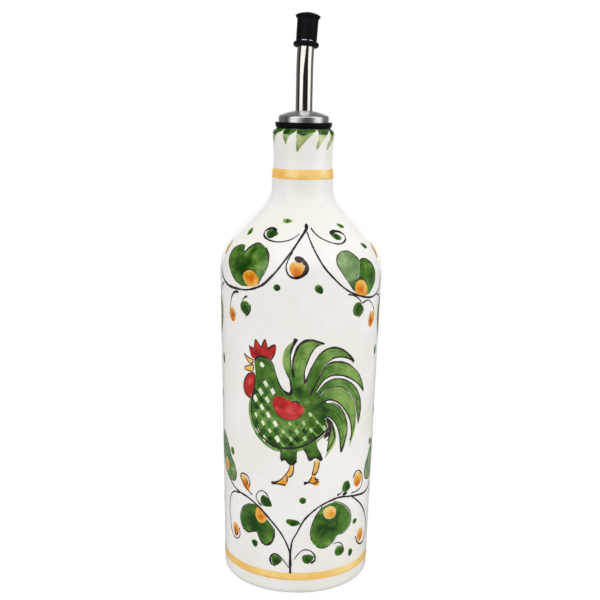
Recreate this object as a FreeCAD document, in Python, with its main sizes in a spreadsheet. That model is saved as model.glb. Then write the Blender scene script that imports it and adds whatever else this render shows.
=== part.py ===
"""Tall ceramic oil cruet with a rubber stopper and a capped, bent metal pouring tube.

Millimetres, +Z up. The origin is the middle of the flat base that the bottle stands on.
Every driving dimension is a cell of the sheet Sizes. Heights and reaches that follow from
them are cells of the sheet Places. Each piece is one body, drawn as a half section about
its own axis and turned, or swept along a path, with its sizes bound to those cells.

The upright axis of the bottle carries the stopper, the metal dome and the foot of the tube.
The tube bends once, and its tip carries the cap and the ring on the leaning axis.
"""

import math
import os

import FreeCAD
import Part
import Sketcher

DOCUMENT_NAME = "oil_cruet"
OUTPUT_FOLDER = "parts"

# Driving dimensions: name, value, what it measures. Lengths in mm, angles in degrees.
SIZES = [
    # Bottle
    ("bottle_height", 234.3, "base to mouth"),
    ("foot_radius", 38.2, "body where its wall would meet the base"),
    ("foot_round", 3.4, "rounding of the edge that the body stands on"),
    ("shoulder_radius", 41.7, "body where wall and shoulder cone would meet"),
    ("shoulder_round", 25.0, "rounding of the shoulder"),
    ("shoulder_drop", 27.6, "height of the cone between shoulder and neck"),
    ("neck_length", 34.1, "mouth down to the root of the neck"),
    ("neck_radius", 15.7, "root of the neck, up to the band"),
    ("neck_round", 14.3, "hollow rounding where the cone runs into the neck"),
    ("band_rise", 12.5, "root of the neck up to the top of the band"),
    ("band_round", 5.0, "rounding at the top of the band"),
    ("waist_inset", 0.9, "how much narrower the neck is at its waist"),
    ("waist_rise", 4.5, "top of the band up to the waist"),
    ("waist_round", 18.0, "hollow rounding of the waist"),
    ("lip_flare", 0.8, "how far the lip stands out over the waist"),
    ("lip_depth", 3.9, "height of the straight side of the lip"),
    ("lip_round", 2.4, "rounding of the outer edge of the mouth"),
    ("bore_radius", 9.5, "inside of the neck"),
    ("bore_round", 1.2, "rounding of the inner edge of the mouth"),
    ("bore_spare", 4.0, "depth of the bore below the end of the plug"),
    # Stopper
    ("plug_length", 30.0, "stopper below the mouth"),
    ("shank_wall", 3.0, "thickness of the plug between its fins"),
    ("plug_chamfer", 1.0, "bevel round the lower end of the plug"),
    ("fin_gap", 0.15, "clearance of the fins in the bore"),
    ("fin_height", 2.2, "height of a fin at the shank"),
    ("fin_edge", 0.9, "height of a fin at its rim"),
    ("fin_count", 4.0, "number of fins"),
    ("fin_pitch", 6.2, "spacing of the fins"),
    ("fin_start", 3.0, "lower end of the plug up to the first fin"),
    ("flange_inset", 1.15, "outside of the lip in to the upper rim of the flange"),
    ("flange_taper", 1.2, "upper rim in to where the flange sits on the mouth"),
    ("flange_height", 3.2, "thickness of the flange"),
    ("flange_bevel", 1.3, "height of the slanted lower side of the flange"),
    ("flange_draft", 0.25, "how far the side of the flange leans in"),
    ("flange_round", 0.3, "rounding of the upper rim"),
    # Dome
    ("dome_inset", 1.65, "upper rim of the flange in to the side of the dome"),
    ("dome_wall", 3.1, "height of the side of the dome"),
    ("dome_crown", 2.8, "rise of the top above the side, taken to the axis"),
    ("dome_round", 1.1, "rounding between side and top"),
    ("collar_wall", 0.5, "thickness of the collar round the tube"),
    ("collar_rise", 0.25, "height of the collar above the top of the dome"),
    # Tube
    ("tube_radius", 4.3, "outside of the tube"),
    ("tube_wall", 1.5, "thickness of the tube"),
    ("tube_gap", 0.1, "clearance of the tube in stopper and dome"),
    ("tube_edge", 0.4, "bevel round the open tip"),
    ("spout_rise", 26.7, "mouth up to the start of the bend"),
    ("bend_radius", 85.0, "bend of the axis of the tube"),
    ("lean_angle", 8.2, "tilt of the tip"),
    ("lean_turn", 67.0, "direction of the lean, from +X towards +Y"),
    # Ring and cap
    ("slip_gap", 0.15, "clearance of ring and cap round the tube"),
    ("ring_offset", 1.1, "end of the bend to the ring"),
    ("ring_height", 2.5, "height of the ring"),
    ("ring_wall", 1.95, "thickness of the ring across"),
    ("ring_round", 1.15, "rounding of the outer edges of the ring"),
    ("cap_offset", 0.65, "ring to the lower rim of the cap"),
    ("cap_wall", 0.75, "thickness of the cap at its lower rim"),
    ("barrel_height", 10.5, "lower rim up to the underside of the head"),
    ("barrel_flare", 0.1, "how much wider the side is at the head"),
    ("head_overhang", 1.0, "how far the head stands out over the side"),
    ("head_flare", 1.1, "height of the slanted underside of the head"),
    ("head_edge", 0.5, "thickness of the rim of the head"),
    ("head_crown", 1.1, "rim up to the flat spot on top"),
    ("spot_radius", 2.5, "flat spot on top of the head"),
    ("spot_rise", 0.35, "height of the flat spot above the crown"),
    ("cap_roof", 1.6, "thickness of the head above the bore"),
    ("tip_gap", 0.4, "open tip of the tube to the roof of the bore"),
]

# Lengths that follow from the driving ones.
PLACES = [
    ("neck_root", "Sizes.bottle_height - Sizes.neck_length", "height of the neck's root"),
    ("shoulder_height", "neck_root - Sizes.shoulder_drop", "height of the shoulder's corner"),
    ("waist_radius", "Sizes.neck_radius - Sizes.waist_inset", "narrowest part of the neck"),
    ("lip_radius", "waist_radius + Sizes.lip_flare", "outside of the lip"),
    ("band_top", "neck_root + Sizes.band_rise", "height of the band's upper edge"),
    ("waist_height", "band_top + Sizes.waist_rise", "height of the waist"),
    ("lip_foot", "Sizes.bottle_height - Sizes.lip_depth", "height where the lip starts"),
    ("bore_floor", "Sizes.bottle_height - Sizes.plug_length - Sizes.bore_spare", "end of the bore"),
    ("plug_foot", "Sizes.bottle_height - Sizes.plug_length", "height of the plug's lower end"),
    ("fin_radius", "Sizes.bore_radius - Sizes.fin_gap", "rim of a fin"),
    ("hole_radius", "Sizes.tube_radius + Sizes.tube_gap", "hole for the tube"),
    ("shank_radius", "hole_radius + Sizes.shank_wall", "plug between its fins"),
    ("flange_radius", "lip_radius - Sizes.flange_inset", "upper rim of the flange"),
    ("flange_foot_radius", "flange_radius - Sizes.flange_taper", "flange on the mouth"),
    ("dome_radius", "flange_radius - Sizes.dome_inset", "side of the dome"),
    ("slip_radius", "Sizes.tube_radius + Sizes.slip_gap", "bore of ring and cap"),
    ("ring_radius", "slip_radius + Sizes.ring_wall", "outside of the ring"),
    ("barrel_radius", "slip_radius + Sizes.cap_wall", "side of the cap at its lower rim"),
    ("head_radius", "barrel_radius + Sizes.head_overhang", "rim of the head"),
    ("flange_top", "Sizes.plug_length + Sizes.flange_height", "flange's top above the plug's end"),
    ("dome_foot", "Sizes.bottle_height + Sizes.flange_height", "height of the dome's underside"),
    (
        "dome_sphere",
        "(pow(dome_radius; 2) + pow(Sizes.dome_crown; 2)) / (2 * Sizes.dome_crown)",
        "radius of the dome's top",
    ),
    ("collar_radius", "hole_radius + Sizes.collar_wall", "outside of the collar"),
    (
        "collar_foot",
        "Sizes.dome_wall + Sizes.dome_crown - dome_sphere"
        " + sqrt(pow(dome_sphere; 2) - pow(collar_radius; 2))",
        "dome's top at the collar",
    ),
    ("collar_top", "collar_foot + Sizes.collar_rise", "collar's top above the dome's underside"),
    ("tube_rise", "Sizes.plug_length + Sizes.spout_rise", "straight foot of the tube"),
    ("bend_reach", "Sizes.bend_radius * (1 - cos(Sizes.lean_angle))", "sideways run of the bend"),
    ("bend_rise", "Sizes.bend_radius * sin(Sizes.lean_angle)", "upward run of the bend"),
    ("cap_start", "Sizes.ring_offset + Sizes.ring_height + Sizes.cap_offset", "bend to cap"),
    ("rim_height", "Sizes.barrel_height + Sizes.head_flare", "lower edge of the head's rim"),
    ("crown_foot", "rim_height + Sizes.head_edge", "upper edge of the head's rim"),
    ("spot_foot", "crown_foot + Sizes.head_crown", "head's top at the flat spot"),
    ("cap_top", "spot_foot + Sizes.spot_rise", "height of the cap along its axis"),
    ("cap_depth", "cap_top - Sizes.cap_roof", "depth of the cap's bore"),
    ("tip_length", "cap_start + cap_depth - Sizes.tip_gap", "straight tip of the tube"),
]

# How close an edge's radius and height must be to the wanted ones.
EDGE_MATCH = 1e-4

# Sketcher's names for the ends of a side, the sketch's origin and its two axes.
START = 1
FINISH = 2
CENTRE = 3
ORIGIN = (-1, 1)
X_AXIS = -1
Y_AXIS = -2


def make_sheet(doc, name, rows):
    """Writes one cell with an alias for each row; a number is a size, text is a formula."""
    sheet = doc.addObject("Spreadsheet::Sheet", name)
    for number, (alias, content, note) in enumerate(rows, start=1):
        is_formula = isinstance(content, str)
        sheet.set(f"A{number}", alias)
        sheet.set(f"B{number}", f"={content}" if is_formula else str(content))
        sheet.set(f"C{number}", note)
        sheet.setAlias(f"B{number}", alias)
        doc.recompute()
    return sheet


def number_of(body, expression):
    """The present value of an expression, as a plain number."""
    value = body.evalExpression(expression)
    return float(getattr(value, "Value", value))


def origin_feature(body, role):
    """One of the body's own origin planes or axes."""
    return next(item for item in body.Origin.OriginFeatures if item.Role == role)


def make_body(doc, label, placement=None):
    """A body whose place, if it isn't the origin, is bound to an expression."""
    body = doc.addObject("PartDesign::Body", label)
    body.Label = label
    if placement:
        body.setExpression("Placement", placement)
    doc.recompute()
    return body


def upright_placement(height, turned="0"):
    """A place on the upright axis at a height, turned about it."""
    return f"placement(vector(0; 0; {height}); rotation(vector(0; 0; 1); {turned}))"


def tip_placement(along):
    """A place on the leaning axis, so many millimetres past the end of the bend."""
    reach = f"(Places.bend_reach + ({along}) * sin(Sizes.lean_angle))"
    climb = f"(Places.bend_rise + ({along}) * cos(Sizes.lean_angle))"
    base = (
        f"vector({reach} * cos(Sizes.lean_turn); {reach} * sin(Sizes.lean_turn);"
        f" Places.plug_foot + Places.tube_rise + {climb})"
    )
    axis = "vector(-sin(Sizes.lean_turn); cos(Sizes.lean_turn); 0)"
    return f"placement({base}; rotation({axis}; Sizes.lean_angle))"


def make_sketch(body, name, plane):
    """An empty sketch on one of the body's own origin planes."""
    sketch = body.newObject("Sketcher::SketchObject", name)
    sketch.AttachmentSupport = [(origin_feature(body, plane), "")]
    sketch.MapMode = "FlatFace"
    return sketch


def bind(sketch, constraint, expression):
    """Adds a dimension to a sketch and ties it to an expression."""
    index = sketch.addConstraint(constraint)
    sketch.setExpression(f"Constraints[{index}]", expression)


def hold_point(sketch, geometry, across, up):
    """Ties the start of a side to a distance across and up from the sketch's origin."""
    for expression, kind, axis in ((across, "DistanceX", Y_AXIS), (up, "DistanceY", X_AXIS)):
        if expression == "0":
            on_axis = Sketcher.Constraint("PointOnObject", geometry, START, axis)
            sketch.addConstraint(on_axis)
        else:
            value = number_of(sketch, expression)
            distance = Sketcher.Constraint(kind, *ORIGIN, geometry, START, value)
            bind(sketch, distance, expression)


def draw_section(body, name, corners, arcs=None):
    """Closed half section in the XZ plane, its corners listed anticlockwise.

    Each corner is a pair of expressions, its distance from the axis and its height. A side
    listed in arcs, by the number of its first corner, bulges outward with that radius.
    """
    arcs = arcs or {}
    sketch = make_sketch(body, name, "XZ_Plane")
    points = [
        FreeCAD.Vector(number_of(sketch, across), number_of(sketch, up), 0)
        for across, up in corners
    ]
    following = points[1:] + points[:1]
    for index, (start, finish) in enumerate(zip(points, following)):
        if index in arcs:
            side = bulging_arc(start, finish, number_of(sketch, arcs[index]))
        else:
            side = Part.LineSegment(start, finish)
        sketch.addGeometry(side, False)
    for index in range(len(points)):
        after = (index + 1) % len(points)
        sketch.addConstraint(Sketcher.Constraint("Coincident", index, FINISH, after, START))
    for index, (across, up) in enumerate(corners):
        hold_point(sketch, index, across, up)
    for index, radius in arcs.items():
        size = number_of(sketch, radius)
        bind(sketch, Sketcher.Constraint("Radius", index, size), radius)
    return sketch


def bulging_arc(start, finish, radius):
    """Arc that bulges to the right of the way from start to finish."""
    half = (finish - start).Length / 2
    rightward = FreeCAD.Vector(finish.y - start.y, start.x - finish.x, 0).normalize()
    bulge = radius - math.sqrt(radius**2 - half**2)
    return Part.Arc(start, (start + finish) / 2 + rightward * bulge, finish)


def turn(body, name, sketch):
    """Turns a half section all the way round the axis."""
    feature = body.newObject("PartDesign::Revolution", name)
    feature.Profile = sketch
    feature.ReferenceAxis = (sketch, ["V_Axis"])
    feature.Angle = 360
    sketch.Visibility = False
    body.Document.recompute()
    return feature


def cut_round(body, name, sketch, before):
    """Grooves a half section out of the body all the way round, and sees that it cut."""
    volume = before.Shape.Volume
    feature = body.newObject("PartDesign::Groove", name)
    feature.Profile = sketch
    feature.ReferenceAxis = (sketch, ["V_Axis"])
    feature.Angle = 360
    sketch.Visibility = False
    body.Document.recompute()
    if feature.Shape.Volume >= volume:
        raise RuntimeError(f"{name} removed nothing")
    return feature


def round_edges(body, name, base, radius, rings):
    """Rounds the edges of the base that run round the axis at the given radius and height."""
    feature = body.newObject("PartDesign::Fillet", name)
    feature.Base = (base, ring_edges(base, rings))
    feature.setExpression("Radius", radius)
    body.Document.recompute()
    return feature


def bevel_edges(body, name, base, size, rings):
    """Bevels the edges of the base that run round the axis at the given radius and height."""
    feature = body.newObject("PartDesign::Chamfer", name)
    feature.Base = (base, ring_edges(base, rings))
    feature.setExpression("Size", size)
    body.Document.recompute()
    return feature


def ring_edges(base, rings):
    """Names of the round edges that match each pair of radius and height expressions."""
    names = []
    for across, up in rings:
        radius = number_of(base, across)
        height = number_of(base, up)
        for number, edge in enumerate(base.Shape.Edges, start=1):
            curve = edge.Curve
            if not isinstance(curve, Part.Circle):
                continue
            near_radius = abs(curve.Radius - radius) < EDGE_MATCH
            near_height = abs(curve.Center.z - height) < EDGE_MATCH
            if near_radius and near_height:
                names.append(f"Edge{number}")
    if len(names) != len(rings):
        raise RuntimeError(f"{base.Label}: {len(names)} edges found for {len(rings)} rings")
    return names


def make_bottle(doc):
    """One-piece bottle: tapered body, round shoulder, hollow-sided neck and a rolled lip.

    The neck has the bore that the stopper fits. Below it the shut bottle is one solid.
    """
    body = make_body(doc, "bottle")
    section = draw_section(
        body,
        "bottle_section",
        [
            ("0", "0"),
            ("Sizes.foot_radius", "0"),
            ("Sizes.shoulder_radius", "Places.shoulder_height"),
            ("Sizes.neck_radius", "Places.neck_root"),
            ("Sizes.neck_radius", "Places.band_top"),
            ("Places.waist_radius", "Places.waist_height"),
            ("Places.lip_radius", "Places.lip_foot"),
            ("Places.lip_radius", "Sizes.bottle_height"),
            ("0", "Sizes.bottle_height"),
        ],
    )
    blank = turn(body, "bottle_blank", section)
    foot = round_edges(
        body, "foot_edge", blank, "Sizes.foot_round", [("Sizes.foot_radius", "0")]
    )
    shoulder = round_edges(
        body,
        "shoulder_edge",
        foot,
        "Sizes.shoulder_round",
        [("Sizes.shoulder_radius", "Places.shoulder_height")],
    )
    neck = round_edges(
        body,
        "neck_edge",
        shoulder,
        "Sizes.neck_round",
        [("Sizes.neck_radius", "Places.neck_root")],
    )
    band = round_edges(
        body, "band_edge", neck, "Sizes.band_round", [("Sizes.neck_radius", "Places.band_top")]
    )
    waist = round_edges(
        body,
        "waist_edge",
        band,
        "Sizes.waist_round",
        [("Places.waist_radius", "Places.waist_height")],
    )
    lip = round_edges(
        body, "lip_edge", waist, "Sizes.lip_round", [("Places.lip_radius", "Sizes.bottle_height")]
    )
    bore_section = draw_section(
        body,
        "bore_section",
        [
            ("0", "Places.bore_floor"),
            ("Sizes.bore_radius", "Places.bore_floor"),
            ("Sizes.bore_radius", "Sizes.bottle_height"),
            ("0", "Sizes.bottle_height"),
        ],
    )
    bore = cut_round(body, "neck_bore", bore_section, lip)
    round_edges(
        body,
        "mouth_edge",
        bore,
        "Sizes.bore_round",
        [("Sizes.bore_radius", "Sizes.bottle_height")],
    )
    return body


def make_stopper(doc):
    """Soft stopper: a flange on the mouth and a finned plug in the bore, holed for the tube."""
    body = make_body(doc, "stopper", upright_placement("Places.plug_foot"))
    section = draw_section(
        body,
        "stopper_section",
        [
            ("Places.hole_radius", "0"),
            ("Places.shank_radius", "0"),
            ("Places.shank_radius", "Sizes.plug_length"),
            ("Places.flange_foot_radius", "Sizes.plug_length"),
            (
                "Places.flange_radius - Sizes.flange_draft",
                "Sizes.plug_length + Sizes.flange_bevel",
            ),
            ("Places.flange_radius", "Places.flange_top"),
            ("Places.hole_radius", "Places.flange_top"),
        ],
    )
    blank = turn(body, "stopper_blank", section)
    tip = bevel_edges(body, "plug_tip", blank, "Sizes.plug_chamfer", [("Places.shank_radius", "0")])
    round_edges(
        body,
        "flange_edge",
        tip,
        "Sizes.flange_round",
        [("Places.flange_radius", "Places.flange_top")],
    )
    fin_section = draw_section(
        body,
        "fin_section",
        [
            ("(Places.shank_radius + Places.hole_radius) / 2", "Sizes.fin_start"),
            ("Places.shank_radius", "Sizes.fin_start"),
            ("Places.fin_radius", "Sizes.fin_start + Sizes.fin_height - Sizes.fin_edge"),
            ("Places.fin_radius", "Sizes.fin_start + Sizes.fin_height"),
            (
                "(Places.shank_radius + Places.hole_radius) / 2",
                "Sizes.fin_start + Sizes.fin_height",
            ),
        ],
    )
    fin = turn(body, "fin", fin_section)
    row = body.newObject("PartDesign::LinearPattern", "fin_row")
    row.Originals = [fin]
    row.Direction = (origin_feature(body, "Z_Axis"), [""])
    row.setExpression("Length", "Sizes.fin_pitch * (Sizes.fin_count - 1)")
    row.setExpression("Occurrences", "Sizes.fin_count")
    body.Tip = row
    return body


def make_dome(doc):
    """Metal dome that covers the flange, with a low collar round the tube."""
    body = make_body(doc, "pourer_dome", upright_placement("Places.dome_foot"))
    section = draw_section(
        body,
        "dome_section",
        [
            ("Places.hole_radius", "0"),
            ("Places.dome_radius", "0"),
            ("Places.dome_radius", "Sizes.dome_wall"),
            ("Places.collar_radius", "Places.collar_foot"),
            ("Places.hole_radius + Sizes.collar_wall / 3", "Places.collar_top"),
            ("Places.hole_radius", "Places.collar_top"),
        ],
        arcs={2: "Places.dome_sphere"},
    )
    blank = turn(body, "dome_blank", section)
    round_edges(
        body,
        "dome_edge",
        blank,
        "Sizes.dome_round",
        [("Places.dome_radius", "Sizes.dome_wall")],
    )
    return body


def make_tube(doc):
    """Pouring tube: upright through stopper and dome, one bend, then a leaning open tip."""
    body = make_body(
        doc, "spout_tube", upright_placement("Places.plug_foot", turned="Sizes.lean_turn")
    )
    ring = make_sketch(body, "tube_section", "XY_Plane")
    for radius in ("Sizes.tube_radius", "Sizes.tube_radius - Sizes.tube_wall"):
        size = number_of(ring, radius)
        circle = Part.Circle(FreeCAD.Vector(0, 0, 0), FreeCAD.Vector(0, 0, 1), size)
        index = ring.addGeometry(circle, False)
        ring.addConstraint(Sketcher.Constraint("Coincident", index, CENTRE, *ORIGIN))
        bind(ring, Sketcher.Constraint("Radius", index, size), radius)
    path = draw_tube_path(body)
    body.Document.recompute()
    pipe = body.newObject("PartDesign::AdditivePipe", "tube")
    pipe.Profile = ring
    pipe.Spine = (path, ["Edge1", "Edge2", "Edge3"])
    pipe.SpineTangent = False
    ring.Visibility = False
    path.Visibility = False
    body.Document.recompute()
    check_tube_volume(body, pipe)
    feature = body.newObject("PartDesign::Chamfer", "tip_edge")
    feature.Base = (pipe, tip_edges(body, pipe))
    feature.setExpression("Size", "Sizes.tube_edge")
    return body


def draw_tube_path(body):
    """Axis of the tube in its own XZ plane: a straight, a tangent arc and a straight."""
    path = make_sketch(body, "tube_path", "XZ_Plane")
    rise = number_of(path, "Places.tube_rise")
    bend = number_of(path, "Sizes.bend_radius")
    lean = math.radians(number_of(path, "Sizes.lean_angle"))
    tip = number_of(path, "Places.tip_length")

    def on_bend(angle):
        across = bend * (1 - math.cos(angle))
        return FreeCAD.Vector(across, rise + bend * math.sin(angle), 0)

    bend_start = on_bend(0)
    bend_end = on_bend(lean)
    tip_end = bend_end + FreeCAD.Vector(math.sin(lean), math.cos(lean), 0) * tip
    path.addGeometry(Part.LineSegment(FreeCAD.Vector(0, 0, 0), bend_start), False)
    path.addGeometry(Part.Arc(bend_end, on_bend(lean / 2), bend_start), False)
    path.addGeometry(Part.LineSegment(bend_end, tip_end), False)
    path.addConstraint(Sketcher.Constraint("Coincident", 0, START, *ORIGIN))
    path.addConstraint(Sketcher.Constraint("PointOnObject", 0, FINISH, Y_AXIS))
    path.addConstraint(Sketcher.Constraint("Tangent", 0, FINISH, 1, FINISH))
    path.addConstraint(Sketcher.Constraint("Tangent", 1, START, 2, START))
    bind(path, Sketcher.Constraint("DistanceY", 0, START, 0, FINISH, rise), "Places.tube_rise")
    bind(path, Sketcher.Constraint("Radius", 1, bend), "Sizes.bend_radius")
    steepness = Sketcher.Constraint("Angle", 2, math.pi / 2 - lean)
    bind(path, steepness, "(90 - Sizes.lean_angle) * 1 deg")
    bind(path, Sketcher.Constraint("Distance", 2, tip), "Places.tip_length")
    return path


def check_tube_volume(body, pipe):
    """A sound sweep holds as much as its section times the length of its axis."""
    outside = number_of(body, "Sizes.tube_radius")
    inside = number_of(body, "Sizes.tube_radius - Sizes.tube_wall")
    bend = "Sizes.bend_radius * Sizes.lean_angle * pi / 180"
    length = number_of(body, f"Places.tube_rise + Places.tip_length + {bend}")
    expected = math.pi * (outside**2 - inside**2) * length
    if abs(pipe.Shape.Volume - expected) > expected / 1000:
        raise RuntimeError(f"tube holds {pipe.Shape.Volume:.1f}, not {expected:.1f}")


def tip_edges(body, pipe):
    """The outer edge at the open tip, which is the highest round edge of full size."""
    radius = number_of(body, "Sizes.tube_radius")
    rims = [
        (edge.Curve.Center.z, f"Edge{number}")
        for number, edge in enumerate(pipe.Shape.Edges, start=1)
        if isinstance(edge.Curve, Part.Circle) and abs(edge.Curve.Radius - radius) < EDGE_MATCH
    ]
    return [max(rims)[1]]


def make_ring(doc):
    """Soft ring round the tube just below the cap, with a full-rounded rim."""
    body = make_body(doc, "tube_ring", tip_placement("Sizes.ring_offset"))
    section = draw_section(
        body,
        "ring_section",
        [
            ("Places.slip_radius", "0"),
            ("Places.ring_radius", "0"),
            ("Places.ring_radius", "Sizes.ring_height"),
            ("Places.slip_radius", "Sizes.ring_height"),
        ],
    )
    blank = turn(body, "ring_blank", section)
    round_edges(
        body,
        "ring_edges",
        blank,
        "Sizes.ring_round",
        [("Places.ring_radius", "0"), ("Places.ring_radius", "Sizes.ring_height")],
    )
    return body


def make_cap(doc):
    """Cap over the open tip: a sleeve with a wider, crowned head and a raised flat spot."""
    body = make_body(doc, "spout_cap", tip_placement("Places.cap_start"))
    section = draw_section(
        body,
        "cap_section",
        [
            ("Places.slip_radius", "0"),
            ("Places.barrel_radius", "0"),
            ("Places.barrel_radius + Sizes.barrel_flare", "Sizes.barrel_height"),
            ("Places.head_radius", "Places.rim_height"),
            ("Places.head_radius", "Places.crown_foot"),
            ("Sizes.spot_radius", "Places.spot_foot"),
            ("Sizes.spot_radius", "Places.cap_top"),
            ("0", "Places.cap_top"),
            ("0", "Places.cap_depth"),
            ("Places.slip_radius", "Places.cap_depth"),
        ],
        arcs={4: "0.9 * Places.head_radius"},
    )
    turn(body, "cap_blank", section)
    return body


def check_document(doc):
    """Stops if any object of the document failed to compute."""
    for item in doc.Objects:
        failed = [state for state in item.State if state in ("Invalid", "Error")]
        if failed:
            raise RuntimeError(f"{item.Name} is {failed[0]}")


def check_body(body):
    """Stops unless the body is one sound, closed solid."""
    shape = body.Shape
    if shape.isNull() or not shape.isValid():
        raise RuntimeError(f"{body.Label} has no valid shape")
    if len(shape.Solids) != 1:
        raise RuntimeError(f"{body.Label} has {len(shape.Solids)} solids")
    if shape.Volume <= 0:
        raise RuntimeError(f"{body.Label} is empty")


def main():
    """Builds every piece, checks them all and then writes one STEP file for each."""
    doc = FreeCAD.newDocument(DOCUMENT_NAME)
    make_sheet(doc, "Sizes", SIZES)
    make_sheet(doc, "Places", PLACES)
    makers = [make_bottle, make_stopper, make_dome, make_tube, make_ring, make_cap]
    bodies = [make(doc) for make in makers]
    doc.recompute()
    check_document(doc)
    for body in bodies:
        check_body(body)
    os.makedirs(OUTPUT_FOLDER, exist_ok=True)
    for body in bodies:
        body.Shape.exportStep(f"{OUTPUT_FOLDER}/{body.Label}.step")
        box = body.Shape.BoundBox
        print(f"{body.Label}: {body.Shape.Volume:.1f} mm3, z {box.ZMin:.2f} to {box.ZMax:.2f}")


main()
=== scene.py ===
"""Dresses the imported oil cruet: glazed wall, majolica brushwork, pourer metals and rubbers, plain studio."""

import bisect
import logging
import math
import random
from dataclasses import dataclass, field
from enum import Enum

import bpy
from mathutils import Matrix, Vector


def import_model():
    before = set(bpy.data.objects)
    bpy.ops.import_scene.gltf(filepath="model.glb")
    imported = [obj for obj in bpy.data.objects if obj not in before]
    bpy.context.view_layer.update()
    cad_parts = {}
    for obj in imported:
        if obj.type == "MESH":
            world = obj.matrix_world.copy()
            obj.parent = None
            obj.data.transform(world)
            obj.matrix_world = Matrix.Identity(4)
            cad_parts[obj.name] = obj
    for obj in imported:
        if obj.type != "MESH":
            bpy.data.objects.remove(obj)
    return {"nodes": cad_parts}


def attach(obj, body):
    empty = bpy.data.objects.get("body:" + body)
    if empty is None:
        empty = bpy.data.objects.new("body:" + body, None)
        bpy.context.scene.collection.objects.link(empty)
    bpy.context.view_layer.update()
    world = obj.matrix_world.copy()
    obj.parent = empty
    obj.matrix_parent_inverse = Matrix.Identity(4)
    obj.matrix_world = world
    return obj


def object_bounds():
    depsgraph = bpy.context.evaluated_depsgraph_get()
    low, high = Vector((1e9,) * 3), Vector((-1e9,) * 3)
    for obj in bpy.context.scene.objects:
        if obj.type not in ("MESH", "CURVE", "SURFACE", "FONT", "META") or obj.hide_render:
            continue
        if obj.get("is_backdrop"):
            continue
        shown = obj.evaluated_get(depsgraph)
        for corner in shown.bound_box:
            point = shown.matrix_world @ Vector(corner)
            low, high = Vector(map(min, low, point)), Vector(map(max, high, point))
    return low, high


LOG = logging.getLogger("cruet")

# One millimetre in metres.
MM = 0.001
# The wall radius in mm on which places round the bottle are measured.
CANVAS_RADIUS = 41.0
# The distance in mm between the corners of a sheet of paint.
STEP = 1.2
# How far in mm a wash reaches under its outline.
GROWTH = 0.25
# Corners nearer than this, in metres, become one.
MERGE_GAP = 1e-7
# Into how many pieces a smooth line is cut between two of its points.
CURVE_PARTS = 10
# Pulls wider than this many mm get corners across their width.
WIDE_PULL = 2.5
# The least share of a wide pull's half width that its rim takes.
PULL_RIM = 0.15
# How the hand shakes: shares of the width, and radians for each mm.
SHAKES = ((0.1, 1.1), (0.06, 2.7))
# How the hand drifts aside, in mm, and its radians for each mm.
DRIFT, DRIFT_PACE = 0.05, 0.55
# Where a shake may start, in radians, and where a mark may lie on the streaks.
SHAKE_STARTS, STREAK_STARTS = 50, 90
# The least share of a pool's reach that stays inside its soft rim.
POOL_CORE = 0.2
# The largest share of a blade's width that one soft rim takes.
BLADE_RIM = 0.3
# Blades narrower than this many mm count as closed.
SLIVER = 0.01
# The gloss over glaze and paint: how much of its relief shows, its depth in metres, its refraction.
GLOSS_BUMP, GLOSS_DEPTH, GLOSS_IOR = 0.6, 0.0011, 1.5
# How finely the streaks of a pool lie, around and upwards, beside those of a pull.
POOL_STREAKS = (2.4, 0.16)
# The corners of an oval and how its rim swells at every third one and between them.
OVAL_CORNERS, OVAL_SWELL, OVAL_DIP = 8, 0.07, -0.04
# How much wider and taller than asked a dab of green is, and how uneven.
DAB_WIDE, DAB_TALL, DAB_UNEVEN = 1.18, 1.08, 0.07

Point = tuple[float, float]
Points = tuple[Point, ...]
Tones = tuple[tuple[float, float, float, float], ...]
Colour = tuple[float, float, float, float]
Socket = bpy.types.NodeSocket
Feed = Socket | float | tuple[float, ...]
# What a span maps: the input's low and high, and where it differs the result's start and end.
Span = tuple[float, ...]


class Layer(Enum):
    """How far each coat of paint stands off the glazed wall, in millimetres."""

    WASH = 0.020
    BLEND = 0.034
    DETAIL = 0.048
    LINE = 0.062
    ACCENT = 0.076


class Pigment(Enum):
    """The painter's colours."""

    GREEN = "leaf_green"
    SAGE = "sage_green"
    DARK = "dark_green"
    OLIVE = "olive_green"
    ORANGE = "ochre_orange"
    YELLOW = "band_yellow"
    RED = "comb_red"
    LINE = "manganese_line"
    BARE = "bare_glaze"


@dataclass(frozen=True)
class Shade:
    """A display colour in 0 to 255 steps."""

    red: float
    green: float
    blue: float

    def linear(self) -> Colour:
        """Turns the display colour into linear light.

        Returns:
            The colour with full opacity.
        """
        parts = []
        for step in (self.red, self.green, self.blue):
            share = step / 255
            low = share <= 0.04045
            parts.append(share / 12.92 if low else ((share + 0.055) / 1.055) ** 2.4)
        return (parts[0], parts[1], parts[2], 1.0)


@dataclass(frozen=True)
class Grain:
    """A noise: its cells in one unit, its finer octaves and how strong they are."""

    scale: float
    detail: float = 2.0
    rough: float = 0.5


def grey(tone: float) -> Colour:
    """Returns an even grey of the given linear tone."""
    return (tone, tone, tone, 1.0)


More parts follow.
